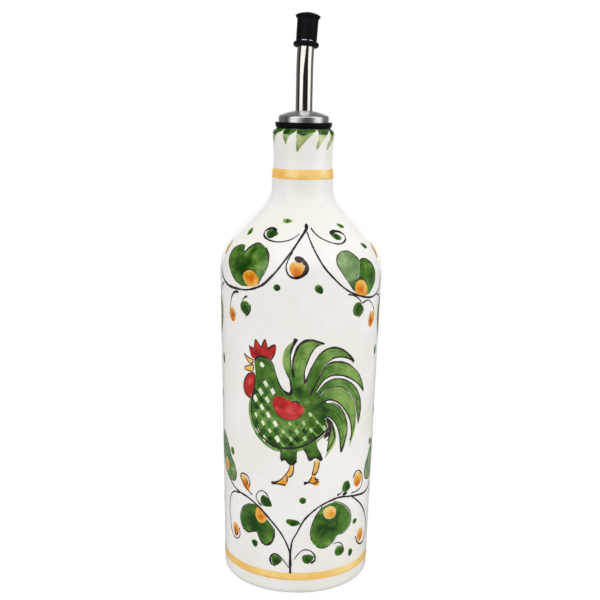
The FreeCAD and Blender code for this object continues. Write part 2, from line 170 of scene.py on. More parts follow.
class Sketch:
    """Adds and links the nodes of one node tree."""

    def __init__(self, tree: bpy.types.NodeTree) -> None:
        """Empties the tree and keeps it."""
        self.tree = tree
        tree.nodes.clear()

    def add(self, kind: str, **settings: object) -> bpy.types.Node:
        """Adds a node and sets its plain properties.

        Args:
            kind: the node's type name.
            **settings: property names and values.

        Returns:
            The new node.
        """
        node = self.tree.nodes.new(kind)
        for name, value in settings.items():
            setattr(node, name, value)
        return node

    def feed(self, socket: Socket, value: Feed) -> None:
        """Links a socket to an input, or sets the input's constant.

        Args:
            socket: the input to feed.
            value: an output socket, a number or a colour.
        """
        if isinstance(value, Socket):
            self.tree.links.new(value, socket)
        else:
            socket.default_value = value

    def fill(self, node: bpy.types.Node, **values: Feed) -> bpy.types.Node:
        """Feeds several inputs of a node.

        Args:
            node: the node.
            **values: what feeds its inputs, with _ for a space in the name.

        Returns:
            The node.
        """
        for name, value in values.items():
            self.feed(node.inputs[name.replace("_", " ")], value)
        return node

    def end(self, kind: str, shader: Socket) -> None:
        """Adds the tree's output node."""
        self.fill(self.add(kind), Surface=shader)

    def math(self, operation: str, first: Feed, second: Feed = 0.0, clamp: bool = False) -> Socket:
        """Adds a Math node.

        Args:
            operation: the node's operation.
            first: the first input.
            second: the second input.
            clamp: whether the result is kept within 0 and 1.

        Returns:
            The node's result.
        """
        node = self.add("ShaderNodeMath", operation=operation, use_clamp=clamp)
        self.feed(node.inputs[0], first)
        self.feed(node.inputs[1], second)
        return node.outputs[0]

    def noise(self, vector: Socket, grain: Grain) -> Socket:
        """Adds a noise texture."""
        values = {"Scale": grain.scale, "Detail": grain.detail, "Roughness": grain.rough}
        return self.fill(self.add("ShaderNodeTexNoise"), Vector=vector, **values).outputs["Fac"]

    def span(self, value: Socket, low: float, high: float, start: float = 0.0, end: float = 1.0) -> Socket:
        """Maps one range of values smoothly onto another."""
        node = self.add("ShaderNodeMapRange", interpolation_type="SMOOTHSTEP")
        return self.fill(node, Value=value, From_Min=low, From_Max=high, To_Min=start, To_Max=end).outputs[0]

    def blend(self, factor: Feed, first: Feed, second: Feed) -> Socket:
        """Mixes two colours.

        Args:
            factor: the share of the second colour.
            first: the first colour.
            second: the second colour.

        Returns:
            The mixed colour.
        """
        node = self.add("ShaderNodeMix", data_type="RGBA", blend_type="MIX")
        for index, value in ((0, factor), (6, first), (7, second)):
            self.feed(node.inputs[index], value)
        return node.outputs[2]

    def mix(self, factor: Socket, first: Socket, second: Socket) -> Socket:
        """Mixes two shaders.

        Args:
            factor: the share of the second shader.
            first: the first shader.
            second: the second shader.

        Returns:
            The mixed shader.
        """
        node = self.add("ShaderNodeMixShader")
        for index, value in enumerate((factor, first, second)):
            self.feed(node.inputs[index], value)
        return node.outputs[0]

    def place(self) -> Socket:
        """Returns the place on the object, in metres."""
        return self.add("ShaderNodeTexCoord").outputs["Object"]

    def stretch(self, vector: Socket, scale: tuple[float, float, float]) -> Socket:
        """Stretches a coordinate."""
        return self.fill(self.add("ShaderNodeMapping"), Vector=vector, Scale=scale).outputs["Vector"]

    def split(self, vector: Socket) -> bpy.types.NodeOutputs:
        """Splits a vector into its x, y and z outputs."""
        return self.fill(self.add("ShaderNodeSeparateXYZ"), Vector=vector).outputs

    def bump(self, height: Socket, strength: float, distance: float) -> Socket:
        """Adds a bump."""
        node = self.add("ShaderNodeBump")
        return self.fill(node, Strength=strength, Distance=distance, Height=height).outputs["Normal"]

    def surface(self, **values: Feed) -> None:
        """Adds the surface shader and the material's output."""
        shader = self.fill(self.add("ShaderNodeBsdfPrincipled"), **values)
        self.end("ShaderNodeOutputMaterial", shader.outputs["BSDF"])


def new_material(name: str) -> tuple[bpy.types.Material, Sketch]:
    """Starts a material.

    Args:
        name: the material's name.

    Returns:
        The material, and the sketch that fills it.
    """
    material = bpy.data.materials.new(name)
    material.use_nodes = True
    return material, Sketch(material.node_tree)


def new_group(
    name: str, inputs: dict[str, float], outputs: dict[str, str],
) -> tuple[bpy.types.NodeTree, Sketch]:
    """Starts a shader node group.

    Args:
        name: the group's name.
        inputs: each input's name and its usual value.
        outputs: each output's name and its socket type.

    Returns:
        The group's tree, and the sketch that fills it.
    """
    tree = bpy.data.node_groups.new(name, "ShaderNodeTree")
    for label, value in inputs.items():
        socket = tree.interface.new_socket(label, in_out="INPUT", socket_type="NodeSocketFloat")
        socket.default_value = value
    for label, kind in outputs.items():
        tree.interface.new_socket(label, in_out="OUTPUT", socket_type=kind)
    return tree, Sketch(tree)


@dataclass(frozen=True)
class FiredGlaze:
    """The fired white glaze: cloudy warm white, uneven gloss, a soft swell and a few flecks."""

    body: Shade = Shade(239, 237, 233)
    warm: Shade = Shade(234, 230, 224)
    light: Shade = Shade(243, 242, 239)
    fleck: Shade = Shade(204, 190, 174)
    cloud: Grain = Grain(26.0, 3.0, 0.55)
    mottle: Grain = Grain(140.0, 2.0, 0.6)
    swell: Grain = Grain(34.0, 1.0, 0.4)
    peel: Grain = Grain(420.0, 1.0, 0.5)
    flecks: float = 190.0
    rough: tuple[float, float] = (0.1, 0.2)
    reliefs: tuple[float, float, float] = (0.9, 0.02, 0.05)
    clouding: Span = (0.35, 0.68)
    mottling: Span = (0.6, 0.8, 0.0, 0.35)
    speckling: Span = (0.05, 0.085, 0.5, 0.0)
    dulling: Span = (0.3, 0.75)

    def build(self) -> bpy.types.NodeTree:
        """Makes the group.

        Returns:
            The group, with Color, Roughness and Height outputs.
        """
        outputs = {"Color": "NodeSocketColor", "Roughness": "NodeSocketFloat", "Height": "NodeSocketFloat"}
        tree, sketch = new_group("fired_glaze", {}, outputs)
        end = sketch.add("NodeGroupOutput")
        place = sketch.place()
        cloud = sketch.noise(place, self.cloud)
        body = sketch.blend(sketch.span(cloud, *self.clouding), self.body.linear(), self.warm.linear())
        mottle = sketch.span(sketch.noise(place, self.mottle), *self.mottling)
        body = sketch.blend(mottle, body, self.light.linear())
        speck = sketch.fill(sketch.add("ShaderNodeTexVoronoi", feature="F1"), Vector=place, Scale=self.flecks)
        fleck = sketch.span(speck.outputs["Distance"], *self.speckling)
        swell = sketch.math("MULTIPLY", sketch.noise(place, self.swell), self.reliefs[0])
        peel = sketch.math("MULTIPLY", sketch.noise(place, self.peel), self.reliefs[1])
        pit = sketch.math("MULTIPLY", fleck, self.reliefs[2])
        sketch.fill(
            end,
            Color=sketch.blend(fleck, body, self.fleck.linear()),
            Roughness=sketch.span(cloud, *self.dulling, *self.rough),
            Height=sketch.math("SUBTRACT", sketch.math("ADD", swell, peel), pit),
        )
        return tree


@dataclass(frozen=True)
class LoadedBrush:
    """The look of a loaded brush: bristle streaks along the pull, pooled colour and a ragged soft edge."""

    hairs: Grain = Grain(1.0, 3.0, 0.6)
    hair_stretch: tuple[float, float, float] = (0.09, 1.5, 1.0)
    pools: Grain = Grain(210.0, 3.0, 0.55)
    solid: float = 0.98
    edge: tuple[float, float] = (0.15, 0.85)

    def build(self) -> bpy.types.NodeTree:
        """Makes the group.

        Returns:
            The group, with Load and Cover outputs.
        """
        inputs = {"Streak": 0.5, "Pool": 0.5, "Ragged": 0.3}
        tree, sketch = new_group(
            "loaded_brush", inputs, {"Load": "NodeSocketFloat", "Cover": "NodeSocketFloat"},
        )
        start, end = sketch.add("NodeGroupInput"), sketch.add("NodeGroupOutput")
        pull = sketch.add("ShaderNodeAttribute", attribute_name="pull").outputs["Vector"]
        flow = sketch.add("ShaderNodeAttribute", attribute_name="flow").outputs["Fac"]
        cover = sketch.add("ShaderNodeAttribute", attribute_name="cover").outputs["Fac"]
        hairs = sketch.noise(sketch.stretch(pull, self.hair_stretch), self.hairs)
        pools = sketch.math("SUBTRACT", sketch.noise(sketch.place(), self.pools), 0.5)
        streak = sketch.math("MULTIPLY", sketch.math("SUBTRACT", hairs, 0.5), start.outputs["Streak"])
        pool = sketch.math("MULTIPLY", pools, start.outputs["Pool"])
        load = sketch.math("ADD", flow, sketch.math("ADD", streak, pool), clamp=True)
        frayed = sketch.math("MULTIPLY", pools, start.outputs["Ragged"])
        frayed = sketch.math("MULTIPLY", frayed, sketch.math("LESS_THAN", cover, self.solid))
        sketch.fill(end, Load=load, Cover=sketch.span(sketch.math("ADD", cover, frayed), *self.edge))
        return tree


def finish_gloss(sketch: Sketch, colour: Socket, rough: Socket, height: Socket) -> None:
    """Adds the glossy surface that the glaze and every fired colour share."""
    normal = sketch.bump(height, GLOSS_BUMP, GLOSS_DEPTH)
    sketch.surface(Base_Color=colour, Roughness=rough, IOR=GLOSS_IOR, Normal=normal)


@dataclass(frozen=True)
class PaintFinish:
    """One fired colour, from its thinnest wash to its thickest pool."""

    pigment: Pigment
    thin: Shade
    middle: Shade
    thick: Shade
    streak: float = 0.9
    pool: float = 1.0
    ragged: float = 0.5
    levels: tuple[float, float, float] = (0.05, 0.5, 0.95)

    def build(self, glaze: bpy.types.NodeTree, brush: bpy.types.NodeTree) -> bpy.types.Material:
        """Makes the material.

        Args:
            glaze: the fired glaze group, which shows through where the paint ends.
            brush: the loaded brush group.

        Returns:
            The finished material.
        """
        material, sketch = new_material("paint_" + self.pigment.value)
        ground = sketch.add("ShaderNodeGroup", node_tree=glaze)
        stroke = sketch.add("ShaderNodeGroup", node_tree=brush)
        sketch.fill(stroke, Streak=self.streak, Pool=self.pool, Ragged=self.ragged)
        ramp = sketch.add("ShaderNodeValToRGB")
        stops = ramp.color_ramp.elements
        stops.new(self.levels[1])
        for stop, level, shade in zip(stops, self.levels, (self.thin, self.middle, self.thick)):
            stop.position, stop.color = level, shade.linear()
        sketch.fill(ramp, Fac=stroke.outputs["Load"])
        colour = sketch.blend(stroke.outputs["Cover"], ground.outputs["Color"], ramp.outputs["Color"])
        finish_gloss(sketch, colour, ground.outputs["Roughness"], ground.outputs["Height"])
        return material


@dataclass(frozen=True)
class GlazeFinish:
    """The glazed bottle, with the bare clay ring that it stood on in the kiln."""

    bare_height: float = 0.35
    clay: Shade = Shade(226, 208, 188)
    deep_clay: Shade = Shade(206, 184, 160)
    edge: Grain = Grain(90.0)
    edge_width: float = 0.3
    grain: Grain = Grain(900.0, 3.0, 0.6)
    bare_rough: float = 0.6

    def build(self, glaze: bpy.types.NodeTree) -> bpy.types.Material:
        """Makes the material.

        Args:
            glaze: the fired glaze group.

        Returns:
            The finished material.
        """
        material, sketch = new_material("bottle_glaze")
        ground = sketch.add("ShaderNodeGroup", node_tree=glaze)
        place = sketch.place()
        uneven = sketch.math("MULTIPLY", sketch.noise(place, self.edge), self.edge_width * MM)
        edge = sketch.math("ADD", sketch.split(place)[2], uneven)
        bare = sketch.span(edge, self.bare_height * MM, (self.bare_height + self.edge_width) * MM, 1.0, 0.0)
        clay = sketch.blend(sketch.noise(place, self.grain), self.clay.linear(), self.deep_clay.linear())
        colour = sketch.blend(bare, ground.outputs["Color"], clay)
        rough = sketch.math(
            "ADD", ground.outputs["Roughness"], sketch.math("MULTIPLY", bare, self.bare_rough),
        )
        finish_gloss(sketch, colour, rough, ground.outputs["Height"])
        return material


@dataclass(frozen=True)
class RubberFinish:
    """Moulded black rubber with a fine skin and a little handling shine."""

    name: str
    body: Shade
    worn: Shade
    rough: tuple[float, float]
    relief: float
    smudge: Grain = Grain(240.0, 3.0, 0.6)
    skin: Grain = Grain(3200.0, 2.0, 0.5)
    depth: float = 0.00012
    wearing: Span = (0.45, 0.75)
    dulling: Span = (0.3, 0.7)
    shine: float = 0.12

    def build(self) -> bpy.types.Material:
        """Makes the material.

        Returns:
            The finished material.
        """
        material, sketch = new_material(self.name)
        place = sketch.place()
        smudge = sketch.noise(place, self.smudge)
        height = sketch.math("ADD", sketch.noise(place, self.skin), smudge)
        sketch.surface(
            Base_Color=sketch.blend(
                sketch.span(smudge, *self.wearing), self.body.linear(), self.worn.linear(),
            ),
            Roughness=sketch.span(smudge, *self.dulling, *self.rough),
            Specular_IOR_Level=self.shine,
            Normal=sketch.bump(height, self.relief, self.depth),
        )
        return material


@dataclass(frozen=True)
class MetalFinish:
    """Bright stainless steel with turning or drawing marks along one direction."""

    name: str
    body: Shade
    rough: tuple[float, float]
    lines: tuple[float, float, float]
    relief: float
    ring_pitch: float = 0.0
    ring_top: float = 0.0
    ring_fade: float = 0.3
    ring_relief: float = 1.6
    haze: Shade = Shade(205, 203, 200)
    mark: Grain = Grain(1.0, 3.0, 0.65)
    smear: Grain = Grain(130.0, 2.0, 0.5)
    depth: float = 0.00004
    hazing: Span = (0.35, 0.7, 0.0, 0.35)
    wearing: Span = (0.3, 0.7, 0.7, 1.0)
    dulling: Span = (0.25, 0.65)

    def build(self) -> bpy.types.Material:
        """Makes the material.

        Returns:
            The finished material.
        """
        material, sketch = new_material(self.name)
        place = sketch.place()
        marks = sketch.noise(sketch.stretch(place, self.lines), self.mark)
        smear = sketch.noise(place, self.smear)
        wear = sketch.math("MULTIPLY", marks, sketch.span(smear, *self.wearing))
        height = self.ringed(sketch, sketch.split(place)[2], marks) if self.ring_pitch else marks
        sketch.surface(
            Base_Color=sketch.blend(sketch.span(smear, *self.hazing), self.body.linear(), self.haze.linear()),
            Metallic=1.0,
            Roughness=sketch.span(wear, *self.dulling, *self.rough),
            Normal=sketch.bump(height, self.relief, self.depth),
        )
        return material

    def ringed(self, sketch: Sketch, level: Socket, marks: Socket) -> Socket:
        """Adds fine ring lines below one height.

        Args:
            sketch: the material's sketch.
            level: the height on the object.
            marks: the relief to add them to.

        Returns:
            The relief with its rings.
        """
        zone = sketch.span(level, self.ring_top * MM, (self.ring_top + self.ring_fade) * MM, 1.0, 0.0)
        wave = sketch.math("SINE", sketch.math("MULTIPLY", level, 2 * math.pi / (self.ring_pitch * MM)))
        rings = sketch.math("MULTIPLY", sketch.math("MULTIPLY", wave, zone), self.ring_relief)
        return sketch.math("ADD", marks, rings)


@dataclass
class BottleWall:
    """The outer wall of the bottle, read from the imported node."""

    node: bpy.types.Object
    inner_limit: float = 12.0
    same_level: float = 0.004
    least_gap: float = 0.1
    slope_reach: float = 0.12
    heights: list[float] = field(default_factory=list)
    reaches: list[float] = field(default_factory=list)
    slopes: list[float] = field(default_factory=list)

    def measure(self) -> None:
        """Lists the wall's radius and slope at each height, in millimetres."""
        corners = [(v.co.z / MM, math.hypot(v.co.x, v.co.y) / MM) for v in self.node.data.vertices]
        for height, radius in sorted(corner for corner in corners if corner[1] > self.inner_limit):
            if self.heights and height - self.heights[-1] < self.same_level:
                self.reaches[-1] = max(self.reaches[-1], radius)
            elif not self.heights or height - self.heights[-1] > self.least_gap:
                self.heights.append(height)
                self.reaches.append(radius)
        levels = list(zip(self.heights, self.reaches))
        falls = [(two[1] - one[1]) / (two[0] - one[0]) for one, two in zip(levels, levels[1:])]
        gaps = [two - one for one, two in zip(self.heights, self.heights[1:])]
        inner = [
            (before * after_gap + after * gap) / (gap + after_gap)
            for before, after, gap, after_gap in zip(falls, falls[1:], gaps, gaps[1:])
        ]
        self.slopes = [falls[0], *inner, falls[-1]]

    def radius(self, height: float) -> float:
        """Reads the wall's radius.

        Args:
            height: the height in millimetres.

        Returns:
            The radius in millimetres.
        """
        index = min(max(bisect.bisect_right(self.heights, height) - 1, 0), len(self.heights) - 2)
        gap = self.heights[index + 1] - self.heights[index]
        share = min(max((height - self.heights[index]) / gap, 0.0), 1.0)
        near, rise = self.reaches[index], self.reaches[index + 1] - self.reaches[index]
        start, end = self.slopes[index] * gap - rise, self.slopes[index + 1] * gap - rise
        bulge = share * (1 - share) * ((1 - share) * start - share * end)
        return near + rise * share + max(bulge, 0.0)

    def slope(self, height: float) -> float:
        """Reads how fast the wall's radius grows with height."""
        low, high = self.radius(height - self.slope_reach), self.radius(height + self.slope_reach)
        return (high - low) / (2 * self.slope_reach)

    def spot(self, angle: float, height: float, lift: float) -> Vector:
        """Finds a place just off the wall.

        Args:
            angle: the turn from the front, anticlockwise seen from above, in radians.
            height: the height in millimetres.
            lift: how far off the wall, in millimetres.

        Returns:
            The place in metres.
        """
        slope = self.slope(height)
        square = math.hypot(1.0, slope)
        reach = (self.radius(height) + lift / square) * MM
        return Vector(
            (reach * math.sin(angle), -reach * math.cos(angle), (height - lift * slope / square) * MM)
        )

    def normal(self, place: Vector) -> Vector:
        """Finds which way the wall faces."""
        outward = Vector((place.x, place.y, 0.0)).normalized()
        return (outward - Vector((0.0, 0.0, self.slope(place.z / MM)))).normalized()


@dataclass(frozen=True)
class Stroke:
    """One pull of the brush, given by points along its middle.

    Points are (around, height) pairs in millimetres on the wall, and widths are spread evenly along the pull.
    """

    points: Points
    widths: tuple[float, ...]
    pigment: Pigment = Pigment.LINE
    layer: Layer = Layer.LINE
    flow: tuple[float, ...] = (0.6, 0.6)
    soft: float = 0.0
    shake: float = 1.0
    tones: Tones = ()


@dataclass(frozen=True)
class Pool:
    """A shape flooded with colour out from its heart to a closed outline."""

    outline: Points
    heart: Point
    pigment: Pigment = Pigment.GREEN
    layer: Layer = Layer.WASH
    flow: tuple[float, ...] = (0.6, 0.45)
    soft: float = 0.35
    sharp: bool = False
    tones: Tones = ()


@dataclass(frozen=True)
class Blade:
    """A shape flooded between two edges that run the same way."""

    first: Points
    second: Points
    pigment: Pigment = Pigment.GREEN
    layer: Layer = Layer.WASH
    flow: tuple[float, ...] = (0.6, 0.45)
    soft: float = 0.3
    tones: Tones = ()
    fine: int = 1


Mark = Stroke | Pool | Blade
Cell = tuple[float, float, float, float, float, float]


def toned(cell: Cell, tones: Tones) -> float:
    """Deepens or thins the colour near the places that a mark names.

    Args:
        cell: the place and its own flow.
        tones: around, height, reach and change of each place.

    Returns:
        The flow there.
    """
    flow = cell[3]
    for around, height, reach, change in tones:
        gap = math.dist((around, height), cell[:2]) / reach
        flow += change * math.exp(-gap * gap)
    return min(max(flow, 0.0), 1.0)


def follow(points: Points, closed: bool = False, count: int = 0) -> list[Point]:
    """Runs a smooth line through points and marks it off in even steps.

    Args:
        points: the points to pass through.
        closed: whether the line returns to its start.
        count: how many steps, or 0 to let the line's length decide.

    Returns:
        The evenly spaced places, ends included.
    """
    ring = list(points)
    if closed:
        ring = [ring[-1], *ring, ring[0], ring[1]]
    else:
        lead = (2 * ring[0][0] - ring[1][0], 2 * ring[0][1] - ring[1][1])
        tail = (2 * ring[-1][0] - ring[-2][0], 2 * ring[-1][1] - ring[-2][1])
        ring = [lead, *ring, tail]
    fine: list[Point] = []
    for before, start, end, after in zip(ring, ring[1:], ring[2:], ring[3:]):
        for part in range(CURVE_PARTS):
            share = part / CURVE_PARTS
            fine.append(
                tuple(bend(before[axis], start[axis], end[axis], after[axis], share) for axis in (0, 1))
            )
    fine.append(ring[-2])
    walked = [0.0]
    for start, end in zip(fine, fine[1:]):
        walked.append(walked[-1] + math.dist(start, end))
    steps = count or max(4, round(walked[-1] / STEP))
    places, index = [], 0
    for step in range(steps + 1):
        target = walked[-1] * step / steps
        while index < len(fine) - 2 and walked[index + 1] < target:
            index += 1
        gap = walked[index + 1] - walked[index]
        share = (target - walked[index]) / gap if gap else 0.0
        start, end = fine[index], fine[index + 1]
        places.append((start[0] + (end[0] - start[0]) * share, start[1] + (end[1] - start[1]) * share))
    return places


def bend(before: float, start: float, end: float, after: float, share: float) -> float:
    """Bends smoothly from start to end.

    Args:
        before: the value before start.
        start: the value at share 0.
        end: the value at share 1.
        after: the value after end.
        share: how far along.

    Returns:
        The value at share.
    """
    pull = (end - before) * share
    swing = (2 * before - 5 * start + 4 * end - after) * share**2
    close = (3 * start - before - 3 * end + after) * share**3
    return start + (pull + swing + close) / 2


def spread(values: tuple[float, ...], share: float) -> float:
    """Reads evenly spread values at a share of their length.

    Args:
        values: the values.
        share: how far along, 0 to 1.

    Returns:
        The value there.
    """
    if len(values) == 1:
        return values[0]
    place = min(max(share, 0.0), 1.0) * (len(values) - 1)
    index = min(int(place), len(values) - 2)
    part = place - index
    eased = part * part * (3 - 2 * part)
    return values[index] + (values[index + 1] - values[index]) * eased


def grown(heart: Point, place: Point) -> Point:
    """Moves a rim's place a little further out, so that washes meet their outlines."""
    share = 1 + GROWTH / max(math.dist(heart, place), 1.0)
    return (heart[0] + (place[0] - heart[0]) * share, heart[1] + (place[1] - heart[1]) * share)


def blank(rows: int, columns: int) -> bpy.types.Object:
    """Adds a flat grid to shape."""
    bpy.ops.mesh.primitive_grid_add(x_subdivisions=columns - 1, y_subdivisions=rows - 1, size=MM)
    return bpy.context.active_object


@dataclass
class Canvas:
    """A stretch of wall that marks are painted on, turned to face one way."""

    wall: BottleWall
    paints: dict[Pigment, bpy.types.Material]
    turn: float = 0.0
    seed: int = 1

    def __post_init__(self) -> None:
        """Starts the painter's hand."""
        self.hand = random.Random(self.seed)

    def line_cells(self, mark: Stroke) -> list[list[Cell]]:
        """Lays out a pull of the brush.

        Args:
            mark: the stroke.

        Returns:
            Rows of cells along the stroke.
        """
        places = follow(mark.points)
        widest = max(mark.widths)
        shares = (-1.0, -1 + mark.soft, 0.0, 1 - mark.soft, 1.0) if mark.soft else (-1.0, 0.0, 1.0)
        if widest > WIDE_PULL:
            rim, parts = 1 - max(mark.soft, PULL_RIM), math.ceil(widest / STEP)
            shares = (-1.0, *(rim * (2 * part / parts - 1) for part in range(parts + 1)), 1.0)
        rows, walked = [], 0.0
        wave = self.hand.uniform(0, SHAKE_STARTS)
        for index, place in enumerate(places):
            before = places[max(index - 1, 0)]
            after = places[min(index + 1, len(places) - 1)]
            length = math.dist(before, after) or 1.0
            side = ((before[1] - after[1]) / length, (after[0] - before[0]) / length)
            share = index / (len(places) - 1)
            walked += math.dist(before, place)
            shake = sum(size * math.sin(walked * pace + wave) for size, pace in SHAKES)
            half = spread(mark.widths, share) / 2 * (1 + shake * mark.shake)
            drift = DRIFT * math.sin(walked * DRIFT_PACE + wave)
            flow = spread(mark.flow, share)
            row = []
            for across in shares:
                offset = half * across + drift
                cover = 0.0 if mark.soft and abs(across) == 1 else 1.0
                spot = (place[0] + side[0] * offset, place[1] + side[1] * offset)
                row.append((*spot, cover, flow, walked, half * across))
            rows.append(row)
        return rows

    def pool_cells(self, mark: Pool) -> list[list[Cell]]:
        """Lays out a flooded outline.

        Args:
            mark: the pool.

        Returns:
            Rows of cells from the heart to the rim.
        """
        rim = [*mark.outline, mark.outline[0]] if mark.sharp else follow(mark.outline, closed=True)
        if not mark.sharp:
            rim = [grown(mark.heart, place) for place in rim]
        reach = max(math.dist(mark.heart, place) for place in rim)
        rings = max(2, math.ceil(reach / STEP))
        rows = [[self.pool_cell(mark, place, ring / rings) for place in rim] for ring in range(rings)]
        if mark.soft:
            rows.append([self.pool_cell(mark, place, 1.0, mark.soft) for place in rim])
        rows.append([self.pool_cell(mark, place, 1.0) for place in rim])
        if mark.soft:
            rows[-1] = [(*cell[:2], 0.0, *cell[3:]) for cell in rows[-1]]
        return rows

    def pool_cell(self, mark: Pool, place: Point, share: float, inset: float = 0.0) -> Cell:
        """Places one corner of a pool.

        Args:
            mark: the pool.
            place: the rim's place.
            share: how far out from the heart.
            inset: how far inside the rim, in millimetres.

        Returns:
            The cell.
        """
        reach = math.dist(mark.heart, place) or 1.0
        most = max(1 - mark.soft / reach, POOL_CORE)
        out = most * share if not inset and share < 1 else share
        if inset:
            out = max(1 - inset / reach, POOL_CORE)
        around = mark.heart[0] + (place[0] - mark.heart[0]) * out
        height = mark.heart[1] + (place[1] - mark.heart[1]) * out
        return (around, height, 1.0, spread(mark.flow, out), around, height)

    def blade_cells(self, mark: Blade) -> list[list[Cell]]:
        """Lays out a shape between two edges.

        Args:
            mark: the blade.

        Returns:
            Rows of cells from one end to the other.
        """
        first, second = follow(mark.first), follow(mark.second)
        count = (max(len(first), len(second)) - 1) * mark.fine
        first, second = follow(mark.first, count=count), follow(mark.second, count=count)
        widest = max(math.dist(one, two) for one, two in zip(first, second))
        across = max(2, math.ceil(widest * mark.fine / STEP))
        rows, walked = [], 0.0
        for index, (one, two) in enumerate(zip(first, second)):
            width = math.dist(one, two)
            walked += math.dist(one, first[max(index - 1, 0)])
            if width > GROWTH:
                out = ((one[0] - two[0]) / width * GROWTH, (one[1] - two[1]) / width * GROWTH)
                one, two = (one[0] + out[0], one[1] + out[1]), (two[0] - out[0], two[1] - out[1])
            rim = min(mark.soft / width, BLADE_RIM) if width > SLIVER else BLADE_RIM
            shares = [0.0] + [rim + (1 - 2 * rim) * step / across for step in range(across + 1)] + [1.0]
            row = []
            for share in shares:
                around = one[0] + (two[0] - one[0]) * share
                height = one[1] + (two[1] - one[1]) * share
                cover = 0.0 if mark.soft and share in (0.0, 1.0) else 1.0
                flow = spread(mark.flow, index / count)
                row.append((around, height, cover, flow, walked, share * width))
            rows.append(row)
        return rows

    def paint(self, mark: Mark) -> bpy.types.Object:
        """Puts one mark on the wall.

        Args:
            mark: the mark.

        Returns:
            The mark's sheet of paint.
        """
        if isinstance(mark, Stroke):
            rows = self.line_cells(mark)
        elif isinstance(mark, Pool):
            rows = self.pool_cells(mark)
        else:
            rows = self.blade_cells(mark)
        if self.facing(rows) < 0:
            rows = [row[::-1] for row in rows]
        sheet = blank(len(rows), len(rows[0]))
        cells = [cell for row in rows for cell in row]
        mesh = sheet.data
        places: list[float] = []
        for around, height, *_ in cells:
            places.extend(self.wall.spot(around / CANVAS_RADIUS + self.turn, height, mark.layer.value))
        mesh.vertices.foreach_set("co", places)
        cast = self.hand.uniform(0, STREAK_STARTS)
        along, across = POOL_STREAKS if isinstance(mark, Pool) else (1.0, 1.0)
        pulls = [value for cell in cells for value in (cell[4] * along, cell[5] * across, cast)]
        mesh.attributes.new("pull", "FLOAT_VECTOR", "POINT").data.foreach_set("vector", pulls)
        mesh.attributes.new("cover", "FLOAT", "POINT").data.foreach_set("value", [cell[2] for cell in cells])
        flows = [toned(cell, mark.tones) for cell in cells]
        mesh.attributes.new("flow", "FLOAT", "POINT").data.foreach_set("value", flows)
        mesh.materials.append(self.paints[mark.pigment])
        return sheet

    @staticmethod
    def facing(rows: list[list[Cell]]) -> float:
        """Tells which way a sheet faces: above 0 is outwards.

        Args:
            rows: the sheet's cells.

        Returns:
            The sheet's signed area.
        """
        area = 0.0
        for low, high in zip(rows, rows[1:]):
            for one, two, three in zip(low, low[1:], high):
                area += (two[0] - one[0]) * (three[1] - one[1]) - (two[1] - one[1]) * (three[0] - one[0])
        return area

    def gather(self, name: str, marks: list[Mark]) -> bpy.types.Object:
        """Paints marks and makes one piece of them.

        Args:
            name: the piece's name.
            marks: the marks.

        Returns:
            The finished piece, riding on the bottle's body.
        """
        bpy.ops.object.select_all(action="DESELECT")
        sheets = [self.paint(mark) for mark in marks]
        for sheet in sheets:
            sheet.select_set(True)
        bpy.context.view_layer.objects.active = sheets[0]
        if len(sheets) > 1:
            bpy.ops.object.join()
        piece = bpy.context.active_object
        piece.name = piece.data.name = name
        piece.location = (0.0, 0.0, 0.0)
        bpy.ops.object.mode_set(mode="EDIT")
        bpy.ops.mesh.select_all(action="SELECT")
        bpy.ops.mesh.remove_doubles(threshold=MERGE_GAP)
        bpy.ops.mesh.dissolve_degenerate(threshold=MERGE_GAP)
        bpy.ops.object.mode_set(mode="OBJECT")
        bpy.ops.object.shade_smooth()
        normals = [self.wall.normal(vertex.co) for vertex in piece.data.vertices]
        piece.data.normals_split_custom_set_from_vertices(normals)
        bpy.ops.object.select_all(action="DESELECT")
        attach(piece, "root")
        return piece


@dataclass
class Bands:
    """The two yellow bands, thrown on the wheel."""

    canvas: Canvas
    neck_height: float = 212.3
    neck_width: float = 5.2
    foot_height: float = 10.2
    foot_width: float = 4.3
    corners: int = 24
    edge_drop: float = 0.36
    edge_width: float = 0.2
    flows: tuple[float, ...] = (
        0.5, 0.7, 0.35, 0.6, 0.3, 0.65, 0.75, 0.35, 0.55, 0.6, 0.25, 0.7, 0.6, 0.4, 0.65, 0.3, 0.5,
    )
    edge_flows: tuple[float, ...] = (0.7, 0.6, 0.8, 0.65, 0.75, 0.6, 0.7, 0.8, 0.6, 0.7)

    def marks(self, height: float, width: float) -> list[Mark]:
        """Lays one band round the wall, with a deeper lower edge.

        Args:
            height: the band's mean height.
            width: the band's width.

        Returns:
            The band's pulls of the brush.
        """
        length = 2 * math.pi * CANVAS_RADIUS
        points = tuple((length * (step / self.corners - 0.5), height) for step in range(self.corners + 1))
        edge = tuple((around, level - width * self.edge_drop) for around, level in points)
        return [
            Stroke(points, (width,), Pigment.YELLOW, Layer.WASH, self.flows, soft=0.1, shake=0.12),
            Stroke(edge, (width * self.edge_width,), Pigment.YELLOW, Layer.BLEND, self.edge_flows, shake=0.5),
        ]

    def build(self) -> list[bpy.types.Object]:
        """Paints both bands.

        Returns:
            The two pieces.
        """
        return [
            self.canvas.gather("neck_band", self.marks(self.neck_height, self.neck_width)),
            self.canvas.gather("foot_band", self.marks(self.foot_height, self.foot_width)),
        ]


@dataclass(frozen=True)
class Panel:
    """A bright panel that mirrors see, between two turns from the front in radians, with one leaning side."""

    low: float
    high: float
    lean: float
    tone: float
    edge: float = 0.14
    tint: Point = (0.99, 0.95)


@dataclass(frozen=True)
class SoftBox:
    """A soft box: its turn from the front towards +X in degrees, its size in metres and its watts."""

    name: str
    angle: float
    width: float
    height: float
    power: float


